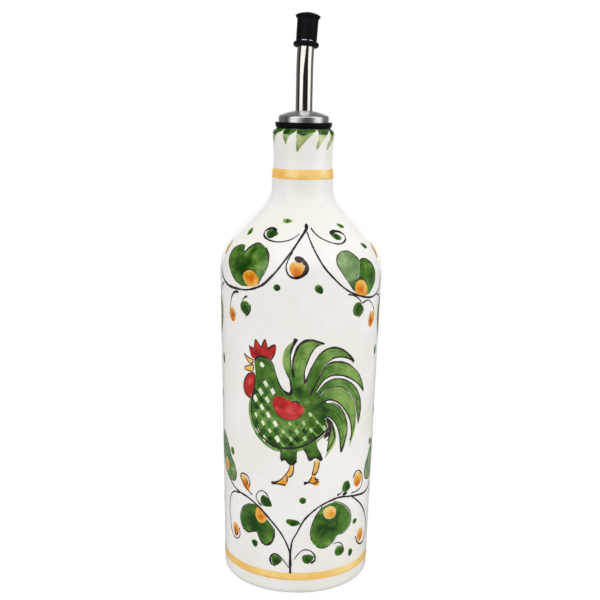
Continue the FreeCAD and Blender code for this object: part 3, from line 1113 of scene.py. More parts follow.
@dataclass
class Studio:
    """A pale floor, two soft boxes, an even white surround and the camera."""

    camera_distance: float = 0.51047
    camera_height: float = 0.24852
    pitch: float = 11.32
    roll: float = 1.066
    yaw: float = 0.023
    lens: float = 59.985
    sensor: float = 36.0
    floor_radius: float = 1.1
    floor_corners: int = 96
    floor_tone: float = 0.8
    mirrored_floor: float = 0.2
    floor_glow: float = 0.975
    dark_front: Colour = (0.02, 0.019, 0.019, 1.0)
    grey_side: Colour = (0.16, 0.155, 0.15, 1.0)
    back_tone: float = 0.9
    ceiling_tone: float = 0.14
    side_span: Span = (-0.1, 0.3)
    back_span: Span = (0.8, 0.92)
    level_span: Span = (0.2, 0.45, 1.0, 0.0)
    ceiling_span: Span = (0.75, 0.95)
    level_light: Point = (0.2, 0.5)
    upper_light: Point = (1.4, 2.2)
    panels: tuple[Panel, ...] = (Panel(-1.2, -0.46, 1.6, 1.2), Panel(0.78, 1.5, -0.6, 1.2))
    boxes: tuple[SoftBox, ...] = (
        SoftBox("left_box", -38.0, 0.6, 1.1, 1.5),
        SoftBox("right_box", 60.0, 0.5, 1.1, 2.0),
    )
    box_distance: float = 1.0
    box_lift: float = 0.02

    def camera(self) -> bpy.types.Object:
        """Sets the camera up.

        Returns:
            The camera.
        """
        bpy.ops.object.camera_add()
        camera = bpy.context.active_object
        camera.name = "studio_camera"
        camera.data.lens = self.lens
        camera.data.sensor_width = self.sensor
        turn = Matrix.Rotation(math.radians(self.yaw), 4, "Z")
        tip = Matrix.Rotation(math.radians(90 - self.pitch), 4, "X")
        lean = Matrix.Rotation(math.radians(self.roll), 4, "Z")
        place = Matrix.Translation((0.0, -self.camera_distance, self.camera_height))
        camera.matrix_world = place @ turn @ tip @ lean
        bpy.context.scene.camera = camera
        return camera

    def floor(self) -> bpy.types.Object:
        """Makes the floor: white to the eye, pale to the light and grey in mirrors.

        Returns:
            The floor.
        """
        bpy.ops.mesh.primitive_circle_add(
            vertices=self.floor_corners, radius=self.floor_radius, fill_type="NGON",
        )
        floor = bpy.context.active_object
        floor.name = "studio_floor"
        material, sketch = new_material("studio_paper")
        path = sketch.add("ShaderNodeLightPath").outputs
        pale, dark = (
            sketch.fill(sketch.add("ShaderNodeBsdfDiffuse"), Color=grey(tone)).outputs[0]
            for tone in (self.floor_tone, self.mirrored_floor)
        )
        bright = sketch.fill(sketch.add("ShaderNodeEmission"), Strength=1.0).outputs[0]
        seen = sketch.mix(sketch.math("MULTIPLY", path["Is Camera Ray"], self.floor_glow), pale, bright)
        sketch.end("ShaderNodeOutputMaterial", sketch.mix(path["Is Glossy Ray"], seen, dark))
        floor.data.materials.append(material)
        floor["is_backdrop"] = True
        return floor

    def mirrored(self, sketch: Sketch, way: bpy.types.NodeOutputs) -> Socket:
        """Makes what mirrors see: a dark front, grey sides, bright panels, a pale back and a grey top.

        Args:
            sketch: the surround's sketch.
            way: the x, y and z of the direction looked in.

        Returns:
            The mirrored colour.
        """
        aside = sketch.math("ARCTAN2", way[0], sketch.math("MULTIPLY", way[1], -1.0))
        mirror = sketch.blend(sketch.span(way[1], *self.side_span), self.dark_front, self.grey_side)
        for panel in self.panels:
            lifted = sketch.math("ADD", aside, sketch.math("MULTIPLY", way[2], -panel.lean))
            first, last = (aside, lifted) if panel.lean > 0 else (lifted, aside)
            starts = sketch.span(first, panel.low, panel.low + panel.edge)
            stops = sketch.span(last, panel.high, panel.high + panel.edge, 1.0, 0.0)
            colour = (panel.tone, *(panel.tone * share for share in panel.tint), 1.0)
            mirror = sketch.blend(sketch.math("MULTIPLY", starts, stops), mirror, colour)
        level = sketch.span(way[2], *self.level_span)
        behind = sketch.math("MULTIPLY", sketch.span(way[1], *self.back_span), level)
        mirror = sketch.blend(behind, mirror, grey(self.back_tone))
        return sketch.blend(sketch.span(way[2], *self.ceiling_span), mirror, grey(self.ceiling_tone))

    def surround(self) -> bpy.types.World:
        """Makes the surround: white to the eye, even on matt surfaces, grey with a dark front in mirrors.

        Returns:
            The world.
        """
        world = bpy.data.worlds.new("studio_surround")
        world.use_nodes = True
        sketch = Sketch(world.node_tree)
        path = sketch.add("ShaderNodeLightPath").outputs
        way = sketch.split(sketch.add("ShaderNodeTexCoord").outputs["Generated"])
        depth = sketch.span(way[1], -1.0, 1.0)
        low, high = (
            sketch.blend(depth, grey(front), grey(back)) for front, back in (
                self.level_light, self.upper_light,
            )
        )
        even = sketch.blend(sketch.span(way[2], 0.0, 1.0), low, high)
        light = sketch.blend(path["Is Glossy Ray"], even, self.mirrored(sketch, way))
        light = sketch.blend(path["Is Camera Ray"], light, grey(1.0))
        shader = sketch.fill(sketch.add("ShaderNodeBackground"), Color=light)
        sketch.end("ShaderNodeOutputWorld", shader.outputs[0])
        bpy.context.scene.world = world
        return world

    def soft_box(self, box: SoftBox) -> bpy.types.Object:
        """Stands a soft box upright, facing the object.

        Args:
            box: its place and power.

        Returns:
            The light.
        """
        turn = math.radians(box.angle)
        aim = Vector((-math.sin(turn), math.cos(turn), 0.0)) * self.box_distance
        spot = Vector((0.0, 0.0, self.box_lift + box.height / 2)) - aim
        bpy.ops.object.light_add(type="AREA", location=spot)
        light = bpy.context.active_object
        light.name = box.name
        light.data.shape = "RECTANGLE"
        light.data.size, light.data.size_y = box.width, box.height
        light.data.energy = box.power
        light.visible_glossy = False
        light.rotation_euler = aim.to_track_quat("-Z", "Z").to_euler()
        return light

    def build(self) -> None:
        """Builds the whole studio."""
        self.camera()
        self.floor()
        self.surround()
        for box in self.boxes:
            self.soft_box(box)
        bpy.context.scene.view_settings.view_transform = "Standard"


def ink(points: Points, *widths: float, layer: Layer = Layer.LINE, load: float = 0.75) -> Stroke:
    """Draws a thin dark line."""
    return Stroke(points, widths or (0.7,), Pigment.LINE, layer, (load, load - 0.1))


def oval(heart: Point, wide: float, tall: float, tilt: float = 0.0) -> Points:
    """Lists the rim of a slightly uneven oval.

    Args:
        heart: its middle.
        wide: its width before it is tilted.
        tall: its height before it is tilted.
        tilt: the anticlockwise turn in degrees.

    Returns:
        The places round the rim.
    """
    turn, rim = math.radians(tilt), []
    for step in range(OVAL_CORNERS):
        angle = step * 2 * math.pi / OVAL_CORNERS
        swell = 1.0 + (OVAL_SWELL if step % 3 == 0 else OVAL_DIP)
        across, up = wide / 2 * math.cos(angle) * swell, tall / 2 * math.sin(angle) * swell
        around = heart[0] + across * math.cos(turn) - up * math.sin(turn)
        rim.append((around, heart[1] + across * math.sin(turn) + up * math.cos(turn)))
    return tuple(rim)


def dab(heart: Point, wide: float, tall: float, tilt: float = 0.0, flow: float = 0.6) -> Pool:
    """Sets down one touch of green.

    Args:
        heart: its middle.
        wide: its width before it is tilted.
        tall: its height before it is tilted.
        tilt: the anticlockwise turn in degrees.
        flow: how much colour it carries.

    Returns:
        The dab.
    """
    tones = ((heart[0] + tall * 0.2, heart[1] - tall * 0.2, tall * 0.45, 0.35),)
    rim = []
    for index, place in enumerate(oval(heart, wide * DAB_WIDE, tall * DAB_TALL, tilt)):
        swell = 1 + DAB_UNEVEN * math.sin(heart[0] + heart[1] + index * 2.3)
        rim.append((heart[0] + (place[0] - heart[0]) * swell, heart[1] + (place[1] - heart[1]) * swell))
    return Pool(tuple(rim), heart, Pigment.GREEN, Layer.WASH, (flow + 0.15, flow - 0.1), 0.3, tones=tones)


def bud(heart: Point, wide: float, tall: float, tilt: float = 0.0, layer: Layer = Layer.WASH) -> Pool:
    """Sets down an orange bud, deeper at its foot.

    Args:
        heart: its middle.
        wide: its width before it is tilted.
        tall: its height before it is tilted.
        tilt: the anticlockwise turn in degrees.
        layer: the coat it belongs to.

    Returns:
        The bud.
    """
    tones = (
        (heart[0], heart[1] - tall * 0.25, tall * 0.35, 0.4),
        (heart[0], heart[1] + tall * 0.35, tall * 0.3, -0.2),
    )
    return Pool(oval(heart, wide, tall, tilt), heart, Pigment.ORANGE, layer, (0.58, 0.4), 0.3, tones=tones)


def blot(heart: Point, wide: float, tall: float, tilt: float, flow: tuple[float, float]) -> Pool:
    """Sets down a dark knot on a line."""
    return Pool(oval(heart, wide, tall, tilt), heart, Pigment.LINE, Layer.ACCENT, flow, 0.0)


@dataclass
class Motif:
    """A painted motif that becomes one piece."""

    canvas: Canvas
    name: str

    def marks(self) -> list[Mark]:
        """Returns the motif's marks, in the order they are painted."""
        return []

    def build(self) -> list[bpy.types.Object]:
        """Paints the motif and returns its piece."""
        return [self.canvas.gather(self.name, self.marks())]


@dataclass
class LipLeaves(Motif):
    """The ring of pointed leaves that hangs from the lip."""

    top: float = 234.25
    sails: tuple[tuple[float, float, float, float], ...] = (
        (-81, -72, -42, 227.4),
        (-41, -35, -13, 227.0),
        (-13, -12, 25, 223.4),
        (28, 26, 57, 224.6),
        (58, 51, 86, 224.4),
        (87, 84, 118, 226.0),
        (119, 114, 150, 223.6),
        (151, 147, 181, 226.6),
        (182, 177, 213, 224.0),
        (214, 209, 247, 226.2),
        (248, 243, 278, 224.8),
    )

    def marks(self) -> list[Mark]:
        """Lays out every leaf.

        Returns:
            The marks.
        """
        marks: list[Mark] = []
        for index, (start, tip, end, low) in enumerate(self.sails):
            marks.extend(self.sail(start, tip, end, low, index))
        return marks

    def sail(self, start: float, tip: float, end: float, low: float, index: int) -> list[Mark]:
        """Lays out one leaf: a sail with a straight edge, a slanting edge and a point.

        Args:
            start: where its straight edge leaves the lip, in degrees.
            tip: where its point hangs, in degrees.
            end: where its slanting edge leaves the lip, in degrees.
            low: the height of its point.
            index: its number round the neck.

        Returns:
            The marks.
        """
        reach = math.radians(1) * CANVAS_RADIUS
        drop = self.top - low
        first, last, point = start * reach, end * reach, tip * reach
        straight = ((first, self.top), (first + 0.4, self.top - drop * 0.45), (point, low))
        belly = first + (last - first) * 0.49
        slant = ((last, self.top - 0.3), (belly, self.top - drop * 0.47), (point + 0.5, low))
        middle = first + (last - first) * 0.5
        tones = (
            (middle, self.top - 0.4, 7.0, 0.25),
            (point + 1.0, low + 0.8, 2.2, 0.35),
            (belly, self.top - drop * 0.5, 3.5, -0.15 if index % 2 else 0.05),
        )
        flow = 0.12 if index % 3 == 0 else 0.2
        long, wave = last - first, 0.5 * (index % 2)
        edge = ((first + 0.3, self.top), (first + long * 0.35, self.top), (first + long * 0.7, self.top),
            (last - 0.4, self.top))
        crown = (
            (first + 0.5, self.top - 1.5 - wave),
            (first + long * 0.32, self.top - 2.7 + wave),
            (first + long * 0.6, self.top - 1.7 - wave),
            (last - 0.8, self.top - 0.7),
        )
        point_line = ((first + 0.3, self.top - drop * 0.5), (point - 0.2, low + drop * 0.2), (point + 0.2,
            low))
        return [
            Blade(straight, slant, Pigment.OLIVE, Layer.WASH, (flow, flow), 0.5, tones, fine=3),
            Blade(edge, crown, Pigment.GREEN, Layer.DETAIL, (0.75, 0.95, 0.7, 0.5), 0.0, fine=3),
            Stroke(point_line, (0.3, 0.7, 0.4), Pigment.OLIVE, Layer.DETAIL, (0.5, 0.75, 0.9)),
        ]


@dataclass
class UpperVine(Motif):
    """The arch of vine below the shoulder, with two heart leaves and a hanging curl."""

    def stems(self) -> list[Mark]:
        """Lays out the two branches and their curls.

        Returns:
            The marks.
        """
        left = ((3.5, 187.5), (-1.5, 182), (-5, 177.5), (-9, 172), (-14, 165.5), (-19.5, 160.5),
            (-27.5, 157.5), (-38.5, 157), (-47, 158.5), (-53, 163), (-56, 169))
        right = ((3.5, 186), (6, 180.5), (10, 172.5), (15.5, 165.5), (23, 159), (29, 156), (37, 153.5),
            (45, 153), (52, 155.5), (56, 161))
        curl_left = ((-1.5, 185), (-5.5, 182.7), (-10, 181.5), (-15.5, 181.1), (-20.5, 181.6), (-24.5, 182.9),
            (-26.4, 184.6), (-25, 186.2), (-21, 186.8), (-17.5, 185.6))
        curl_right = ((6.5, 187.5), (10, 184.5), (15, 182), (20, 180.6), (25, 180.4), (29, 181.8),
            (30.3, 183.8), (27.5, 185.4), (23, 185.9), (19.5, 185))
        hook = ((-4.5, 177), (-6.5, 173.5), (-7.3, 170), (-6, 166.7), (-3, 165.2), (0.5, 166.1), (2.6, 168.6),
            (2.8, 171), (1.2, 172.8))
        return [
            ink(left, 1.6, 1.1, 1.0, 0.9, 1.3, 1.1, 0.8, 1.4, 1.3, 1.0, 0.7),
            ink(right, 0.7, 0.9, 1.0, 0.8, 0.9, 1.1, 0.8, 0.6),
            ink(curl_left, 0.4, 0.5, 0.5, 0.6, 0.9, 1.2, 1.3),
            ink(curl_right, 0.9, 0.6, 0.5, 0.6, 0.8, 1.1, 1.6),
            ink(hook, 0.7, 0.6, 0.7, 1.0, 1.5, 2.2, 1.9),
            blot((3.4, 188.1), 2.4, 2.6, 0, (0.8, 0.7)),
            blot((-0.9, 173.8), 5.0, 2.5, -8, (0.85, 0.65)),
            ink(((-49, 157.5), (-53, 155.5), (-57, 151)), 0.9, 0.6, 0.5, layer=Layer.ACCENT),
            ink(((48, 153.5), (53, 152), (57, 148.5)), 0.7, 0.6, 0.5, layer=Layer.ACCENT),
        ]

    def left_leaf(self) -> list[Mark]:
        """Lays out the left heart leaf and its bud.

        Returns:
            The marks.
        """
        rim = ((-38, 178.2), (-35, 178), (-34.5, 176.5), (-33, 175.4), (-31.8, 176.2), (-30.5, 178.3),
            (-27, 179.6), (-22.5, 179.2), (-18.5, 176.5), (-16.8, 172), (-18, 167.5), (-20.5, 162.5),
            (-24.5, 160), (-31.5, 159), (-36, 161), (-39.8, 164), (-43.2, 168), (-45.3, 172), (-44.8, 175.3),
            (-42, 177.2))
        tones = ((-37, 172, 4, 0.2), (-33, 166, 4.5, 0.4), (-29, 171, 2.8, 0.4), (-27, 178, 2.5, 0.35),
            (-22, 168, 4, -0.28), (-26, 174.5, 1.8, -0.35), (-43.5, 173, 2.4, -0.1), (-19, 174, 2.5, 0.25))
        nub = ((-30.5, 164.2), (-28, 166.6), (-24.8, 166.8), (-22, 164.6), (-21, 161.6), (-23.8, 159.8),
            (-28, 160))
        glow = ((-25.5, 163, 2.0, 0.45), (-28.5, 164.5, 1.6, 0.25), (-22.5, 161, 1.4, -0.1))
        return [
            Pool(rim, (-30, 168), Pigment.GREEN, Layer.WASH, (0.62, 0.5), 0.4, tones=tones),
            Pool(nub, (-26, 163.2), Pigment.ORANGE, Layer.DETAIL, (0.55, 0.4), 0.0, tones=glow),
            ink(((-36, 178), (-34.8, 175.8), (-33, 175), (-31, 177.8), (-27, 179.7), (-24, 179.6)), 0.3, 0.9,
                0.8, 0.5),
            ink(((-20, 178.3), (-17.4, 175.5), (-16.6, 171.5), (-17.8, 167)), 0.5, 0.9, 0.6, 0.4),
            ink(((-17.8, 167), (-20.3, 162.6), (-21.5, 160.8)), 0.4, 0.5),
            ink(((-38, 178.2), (-42, 177), (-44.8, 175), (-44.6, 170), (-41, 165.2), (-36.5, 161),
                (-31, 159)), 0.3, 0.5, 0.4),
            ink(((-31.5, 164), (-30, 166.5), (-27.5, 167.7), (-24.5, 167.3)), 0.4, 0.6, 0.4,
                layer=Layer.ACCENT),
        ]

    def right_leaf(self) -> list[Mark]:
        """Lays out the right heart leaf and its bud.

        Returns:
            The marks.
        """
        pale = ((32.8, 172), (30.5, 174.8), (26.5, 176.9), (22, 176.8), (19.2, 174.8), (18.5, 171.5),
            (20.8, 167), (24, 162.6), (28, 158), (31, 160), (32, 165))
        deep = ((33, 172), (35, 172.9), (38.3, 172.4), (42, 170), (44.6, 166), (45.2, 161.5), (43.5, 158.5),
            (39.5, 155), (34, 155.5), (28, 157.8), (26.5, 160.5), (30.5, 163.8), (31.5, 168))
        cool = ((23, 173, 3.5, -0.25), (27, 168, 3, 0.15), (21, 168, 2.5, 0.1), (29, 161, 3, 0.5))
        tones = ((37, 168, 3, -0.12), (42, 163, 3, 0.2), (32, 162.5, 3, 0.35), (40, 159, 2.5, 0.1),
            (34, 171, 2, 0.2))
        nub = ((28.7, 158.4), (29, 161.5), (31.5, 162.6), (35, 161.5), (37.3, 158), (37.2, 154.9),
            (33.5, 154.2), (30.2, 155.8))
        glow = ((33, 157.8, 1.8, 0.4), (31, 160.5, 1.6, 0.0))
        return [
            Pool(pale, (26.5, 168), Pigment.SAGE, Layer.WASH, (0.5, 0.42), 0.35, tones=cool),
            Pool(deep, (37, 163.5), Pigment.GREEN, Layer.BLEND, (0.6, 0.5), 0.25, tones=tones),
            Pool(nub, (33, 158.3), Pigment.ORANGE, Layer.DETAIL, (0.5, 0.4), 0.0, tones=glow),
            ink(((28, 158.5), (23.8, 163), (20.6, 167.5), (18.4, 171.5), (19.2, 175), (22.5, 177)), 0.4, 0.4,
                0.6, 0.4),
            ink(((22.5, 177), (27, 176.8), (31, 174.2), (33, 171.8), (35, 172.8), (38.5, 172.4)), 0.4, 0.5,
                0.6, 0.5),
            ink(((38.5, 172.4), (42.3, 170), (45, 165.5), (45.2, 161), (42.5, 157.5)), 0.5, 0.5, 0.4, 0.3),
            ink(((28.5, 162.5), (31, 163.8), (34.5, 163), (36.8, 160.5)), 0.4, 0.6, 0.4, layer=Layer.ACCENT),
        ]

    def buds(self) -> list[Mark]:
        """Lays out the four hanging buds and the loose touches of green.

        Returns:
            The marks.
        """
        return [
            ink(((-28, 154.2), (-30.3, 152.8), (-31.6, 150)), 1.0, 0.6, 0.4),
            dab((-29.2, 148.2), 5.4, 6.8, 22, 0.6),
            ink(((-26, 150.5), (-25.9, 147), (-28.8, 143.8)), 0.4, 0.5),
            ink(((-34, 155.4), (-37.5, 154.8), (-40.3, 151.3), (-41.3, 146)), 1.3, 1.1, 0.5, 0.3),
            bud((-39.4, 143.4), 5.6, 7.2, 20),
            ink(((-40.2, 145.5), (-38.8, 142.5), (-37, 143.5), (-37.5, 145)), 0.5, 0.6, 0.4),
            ink(((24.5, 156.4), (28.5, 155.4), (32, 153), (34, 150.5)), 0.9, 0.7, 0.5),
            dab((31.2, 148.2), 6.0, 6.4, -12, 0.65),
            ink(((34.8, 149.5), (35, 146.5), (31.5, 144)), 0.4, 0.5),
            ink(((34.5, 151), (38.5, 151.8), (43, 149.5), (46, 145.5), (46.3, 142)), 0.9, 0.5, 0.4, 0.3),
            bud((43.2, 141.6), 6.2, 8.0, -18),
            ink(((43, 144.5), (41.8, 142), (43, 139.5)), 0.4, 0.7, 0.5),
            bud((-1.9, 169.3), 7.6, 7.0, 0),
            dab((-20.4, 184.4), 7.2, 3.3, 0, 0.75),
            dab((23.2, 183.6), 6.2, 2.6, -12, 0.7),
            dab((-11.4, 160.1), 2.9, 3.1, 25, 0.7),
            dab((8.8, 159.8), 3.0, 4.6, 35, 0.6),
            dab((-12, 190.4), 7.0, 1.7, 0, 0.2),
            dab((-39.8, 184.2), 4.2, 2.8, -15, 0.3),
            dab((31.8, 188), 5.4, 1.7, -10, 0.45),
            dab((42, 178.2), 4.2, 2.2, -15, 0.5),
        ]

    def marks(self) -> list[Mark]:
        """Returns every mark of the arch."""
        return self.stems() + self.left_leaf() + self.right_leaf() + self.buds()


@dataclass
class LowerVine(Motif):
    """The forked vine above the foot, with two bean leaves, two side leaves and its curls."""

    def stems(self) -> list[Mark]:
        """Lays out the stem, its two branches and their end loops.

        Returns:
            The marks.
        """
        left = ((-2.9, 23), (-5, 28), (-8, 33.5), (-12, 38), (-16, 42), (-21.5, 46.3), (-27.5, 49.2),
            (-34.5, 50.5), (-41, 52.5), (-47, 56))
        right = ((-2.8, 24), (-2, 29.5), (0.5, 34.5), (3, 39.3), (5.7, 43), (9.2, 46), (13.5, 48.6),
            (18, 50.3), (24, 51.2), (30.5, 50.3), (38, 49), (46, 48), (53, 49.5), (57.5, 54))
        loop_left = ((-34.5, 50.2), (-40, 49), (-44, 45.3), (-45.5, 39), (-44.8, 33), (-43.5, 27.5),
            (-40.5, 24), (-37, 24), (-34.7, 26.7), (-35.3, 30.5))
        loop_right = ((32, 50.5), (35.5, 47.7), (41, 43.5), (47, 37), (51, 30), (51.5, 24), (48.5, 20),
            (43.5, 19.8), (39.6, 22.5), (38, 26))
        return [
            ink(((-2.7, 11.9), (-2.9, 16), (-2.9, 24.5)), 1.1, 1.5, 1.1, layer=Layer.ACCENT),
            ink(left, 1.0, 0.8, 0.9, 1.2, 0.9, 1.1, 0.8, 0.6),
            ink(right, 1.0, 0.7, 1.0, 0.8, 1.1, 0.9, 1.2, 1.1, 0.7),
            ink(loop_left, 1.0, 0.6, 0.5, 0.5, 0.6, 0.5, layer=Layer.ACCENT),
            ink(loop_right, 0.9, 0.8, 1.0, 0.6, 0.6, 0.9, 0.6, layer=Layer.ACCENT),
            blot((27.5, 52.4), 3.2, 1.6, 10, (0.8, 0.6)),
        ]

    def left_leaf(self) -> list[Mark]:
        """Lays out the left bean leaf and its bud.

        Returns:
            The marks.
        """
        rim = ((-22, 46.5), (-27.5, 45.6), (-31.5, 43), (-33.5, 39), (-33.7, 35), (-31.8, 31.8), (-28, 30.7),
            (-24.5, 32), (-22, 32.2), (-20.8, 29.9), (-19.2, 27.3), (-16.4, 26.4), (-13.7, 28.2), (-12, 31.6),
            (-12, 35.3), (-14, 38.2), (-17.5, 41.5))
        tones = ((-28, 41, 4, 0.1), (-24, 36, 5, 0.35), (-16, 34, 4, 0.25), (-14, 29.5, 3, -0.25),
            (-31, 34, 3, 0.1))
        nub = ((-22.8, 42.2), (-21.8, 45.3), (-18.8, 44), (-16.3, 41.8), (-17.2, 38.8), (-19.6, 37.6),
            (-22, 39.2))
        glow = ((-19, 39.8, 2.0, 0.4), (-21, 43.5, 2.0, -0.1))
        return [
            Pool(rim, (-21.5, 37), Pigment.GREEN, Layer.WASH, (0.66, 0.55), 0.4, tones=tones),
            Pool(nub, (-19.7, 41.3), Pigment.ORANGE, Layer.DETAIL, (0.5, 0.35), 0.0, tones=glow),
            ink(((-23, 46.6), (-28, 45.8), (-32, 43), (-33.9, 39), (-34, 35), (-32, 31.4)), 0.4, 0.5, 0.4),
            ink(((-32, 31.4), (-28, 30.4), (-24.3, 31.8), (-22, 31.8), (-20.9, 29.6), (-19.2, 26.9)), 0.7,
                0.9, 0.5, 0.8),
            ink(((-19.2, 26.9), (-16.4, 26), (-13.5, 27.9), (-11.8, 31.5), (-11.7, 35.7)), 0.9, 1.2, 0.9,
                0.4),
        ]

    def right_leaf(self) -> list[Mark]:
        """Lays out the right bean leaf and its bud.

        Returns:
            The marks.
        """
        rim = ((13.5, 47), (11, 44), (9, 39.3), (8, 34.5), (8.6, 29.5), (11, 26.6), (14, 25.3), (18, 26),
            (21, 28), (22.8, 30.3), (26, 30.8), (29.5, 32.3), (32.3, 35.2), (32.3, 39.5), (29, 44.5),
            (24, 48), (19, 49))
        tones = ((14, 36, 4, 0.35), (20, 33, 4.5, 0.25), (25, 44, 4, 0.12), (12, 41, 2.5, 0.1),
            (17, 28, 3, -0.1))
        nub = ((14.8, 45.7), (14.9, 43.5), (16.2, 41.6), (18.4, 40.8), (20.8, 41.3), (21.9, 43.5), (21.1, 46),
            (18.2, 47.3))
        glow = ((19.5, 42.2, 2.2, 0.3), (17, 46, 2.2, -0.25))
        ring = ((13.8, 44), (15.6, 40.4), (19, 38.8), (22.6, 39.8), (24.4, 43.4))
        return [
            Pool(rim, (18.5, 37), Pigment.GREEN, Layer.WASH, (0.62, 0.52), 0.4, tones=tones),
            Stroke(ring, (0.8, 1.3, 1.0), Pigment.DARK, Layer.BLEND, (0.4, 0.5)),
            Pool(nub, (18.4, 44), Pigment.ORANGE, Layer.DETAIL, (0.4, 0.25), 0.15, tones=glow),
            ink(((13.6, 48.2), (13, 46.2), (10.6, 43.5), (8.6, 39), (7.7, 34.5), (8.2, 29.8)), 0.5, 0.5, 0.4),
            ink(((11, 26.4), (14, 25), (18, 25.7), (21.2, 27.7), (23, 30)), 0.4, 0.6, 0.4, 0.3),
            ink(((26, 30.5), (29.8, 32), (32.8, 35), (32.8, 39.8), (29.4, 44.9), (24.3, 48.4), (20, 49.4)),
                0.4, 0.6, 0.4),
        ]

    def side_leaves(self) -> list[Mark]:
        """Lays out the heart leaves at the branch ends.

        Returns:
            The marks.
        """
        left = ((-50.5, 76.8), (-47, 73.6), (-44.7, 70), (-42.2, 66.4), (-39.6, 64.2), (-38, 61),
            (-37.8, 58.2), (-39.4, 55.8), (-42.5, 55), (-46.5, 56), (-51.5, 59), (-57, 64), (-60, 70.5),
            (-58.5, 76), (-54.5, 78))
        right = ((58.5, 75.5), (54.5, 73), (51.5, 70), (48.6, 66.8), (46, 63.5), (44.6, 60.2), (45.6, 57),
            (48.6, 55), (53, 54.8), (58, 56.8), (63.5, 61.4), (67, 67.2), (67.5, 73), (64.5, 76.5),
            (61.5, 75.2))
        shades = ((-40, 60, 2.5, -0.3), (-46, 68, 4, 0.15), (-53, 70, 4, 0.2))
        depths = ((61, 69, 4, 0.3), (49, 62, 3, -0.1))
        return [
            Pool(left, (-49, 66), Pigment.SAGE, Layer.WASH, (0.62, 0.5), 0.35, tones=shades),
            bud((-48.4, 61.8), 5.0, 6.2, 10, Layer.DETAIL),
            ink(((-54.5, 78.3), (-50.2, 77.2), (-46.6, 73.9), (-44.3, 70.3), (-41.8, 66.7), (-39.2, 64.4)),
                0.4, 0.7, 0.5),
            ink(((-39.2, 64.4), (-37.6, 61), (-37.4, 58), (-39.2, 55.4), (-42.5, 54.6), (-46.6, 55.6),
                (-52, 59)), 0.4, 0.6, 0.4),
            Pool(right, (56, 65), Pigment.SAGE, Layer.WASH, (0.5, 0.42), 0.35, tones=depths),
            bud((57.5, 61.5), 5.0, 6.5, -12, Layer.DETAIL),
            ink(((61.5, 75.4), (58.3, 75.9), (54.2, 73.3), (51.1, 70.3), (48.2, 67.1), (45.6, 63.6),
                (44.2, 60.2)), 0.4, 0.7, 0.6),
            ink(((44.2, 60.2), (45.3, 56.7), (48.5, 54.6), (53.2, 54.4), (58.4, 56.5)), 0.6, 0.7, 0.4),
            dab((50.8, 74.8), 3.6, 3.2, -10, 0.5),
        ]

    def curls(self) -> list[Mark]:
        """Lays out the curls with their dots and buds.

        Returns:
            The marks.
        """
        spiral = ((-25, 51.4), (-28, 53.2), (-31, 55.8), (-33, 58), (-33.6, 60.2), (-31.4, 61.6),
            (-28.2, 60.6), (-26.6, 57.3), (-27.5, 55))
        crest = ((-19.2, 46.8), (-21.6, 49), (-22.6, 51.5), (-21, 54.1), (-18.6, 55.1), (-16.2, 53.6),
            (-14.6, 50.5))
        low_left = ((-3.6, 15), (-6.3, 18.5), (-8.7, 21), (-11, 22), (-13.2, 21), (-14, 18.5), (-13.3, 16.2),
            (-11, 15.3))
        low_right = ((-0.8, 19.6), (1.1, 22.4), (3.4, 24.5), (5.6, 25), (8.2, 24.1), (10.2, 21.7), (10.6, 19),
            (8.4, 17.4))
        crook = ((32.5, 51.6), (36.4, 51.4), (40.5, 52.3), (42.6, 55), (41.8, 58.9), (38.5, 62.2),
            (35.2, 62.4), (33.4, 59.6))
        return [
            bud((-30, 57), 4.6, 9.0, 32),
            ink(spiral, 0.6, 0.5, 0.5, 0.7, 0.8, 0.6, 0.5),
            ink(((-29.4, 59), (-28.4, 57), (-29.2, 56.2)), 0.4, 0.8, layer=Layer.ACCENT),
            ink(crest, 0.9, 0.5, 0.5, 0.6, 0.5),
            dab((-16.8, 49.6), 6.0, 4.8, -30, 0.65),
            ink(low_left, 0.5, 0.5, 0.7, 0.9, 1.2, 0.9),
            dab((-10.6, 18.7), 4.8, 5.0, 0, 0.7),
            ink(low_right, 0.4, 0.5, 0.6, 0.6, 0.9, 1.3),
            dab((6.5, 19.9), 5.3, 4.7, 10, 0.65),
            ink(((21.4, 26.2), (24.2, 26.5), (27, 24.8), (28.7, 21.3)), 0.4, 0.6, 0.5),
            dab((25.3, 21.6), 5.4, 5.1, -15, 0.55),
            ink(((22.6, 52.6), (24.8, 53.4), (27, 55)), 1.2, 0.6, 0.4),
            dab((28.4, 56.2), 4.8, 5.4, -20, 0.6),
            ink(crook, 0.6, 0.7, 0.5, 0.6, 0.7, 0.6, 0.9),
            bud((37.6, 57.8), 7.4, 7.8, -8),
            bud((-38.6, 28.8), 5.4, 7.4, 8),
            ink(((-38, 30.6), (-39.6, 28), (-38.2, 25.6), (-36.4, 27.4)), 0.4, 0.6, 0.5),
            bud((42.8, 25.4), 7.2, 7.4, -18),
            dab((3.2, 51.7), 3.0, 3.2, 0, 0.4),
            dab((-1.9, 39.8), 6.4, 3.2, -6, 0.65),
            dab((-23.6, 25.5), 3.2, 3.7, 30, 0.6),
            dab((36.4, 35), 3.2, 2.6, 10, 0.6),
            dab((33.7, 18.5), 3.0, 4.0, 0, 0.55),
            dab((-41, 71), 2.8, 4.0, 15, 0.5),
        ]

    def marks(self) -> list[Mark]:
        """Returns every mark of the vine."""
        return self.stems() + self.left_leaf() + self.right_leaf() + self.side_leaves() + self.curls()


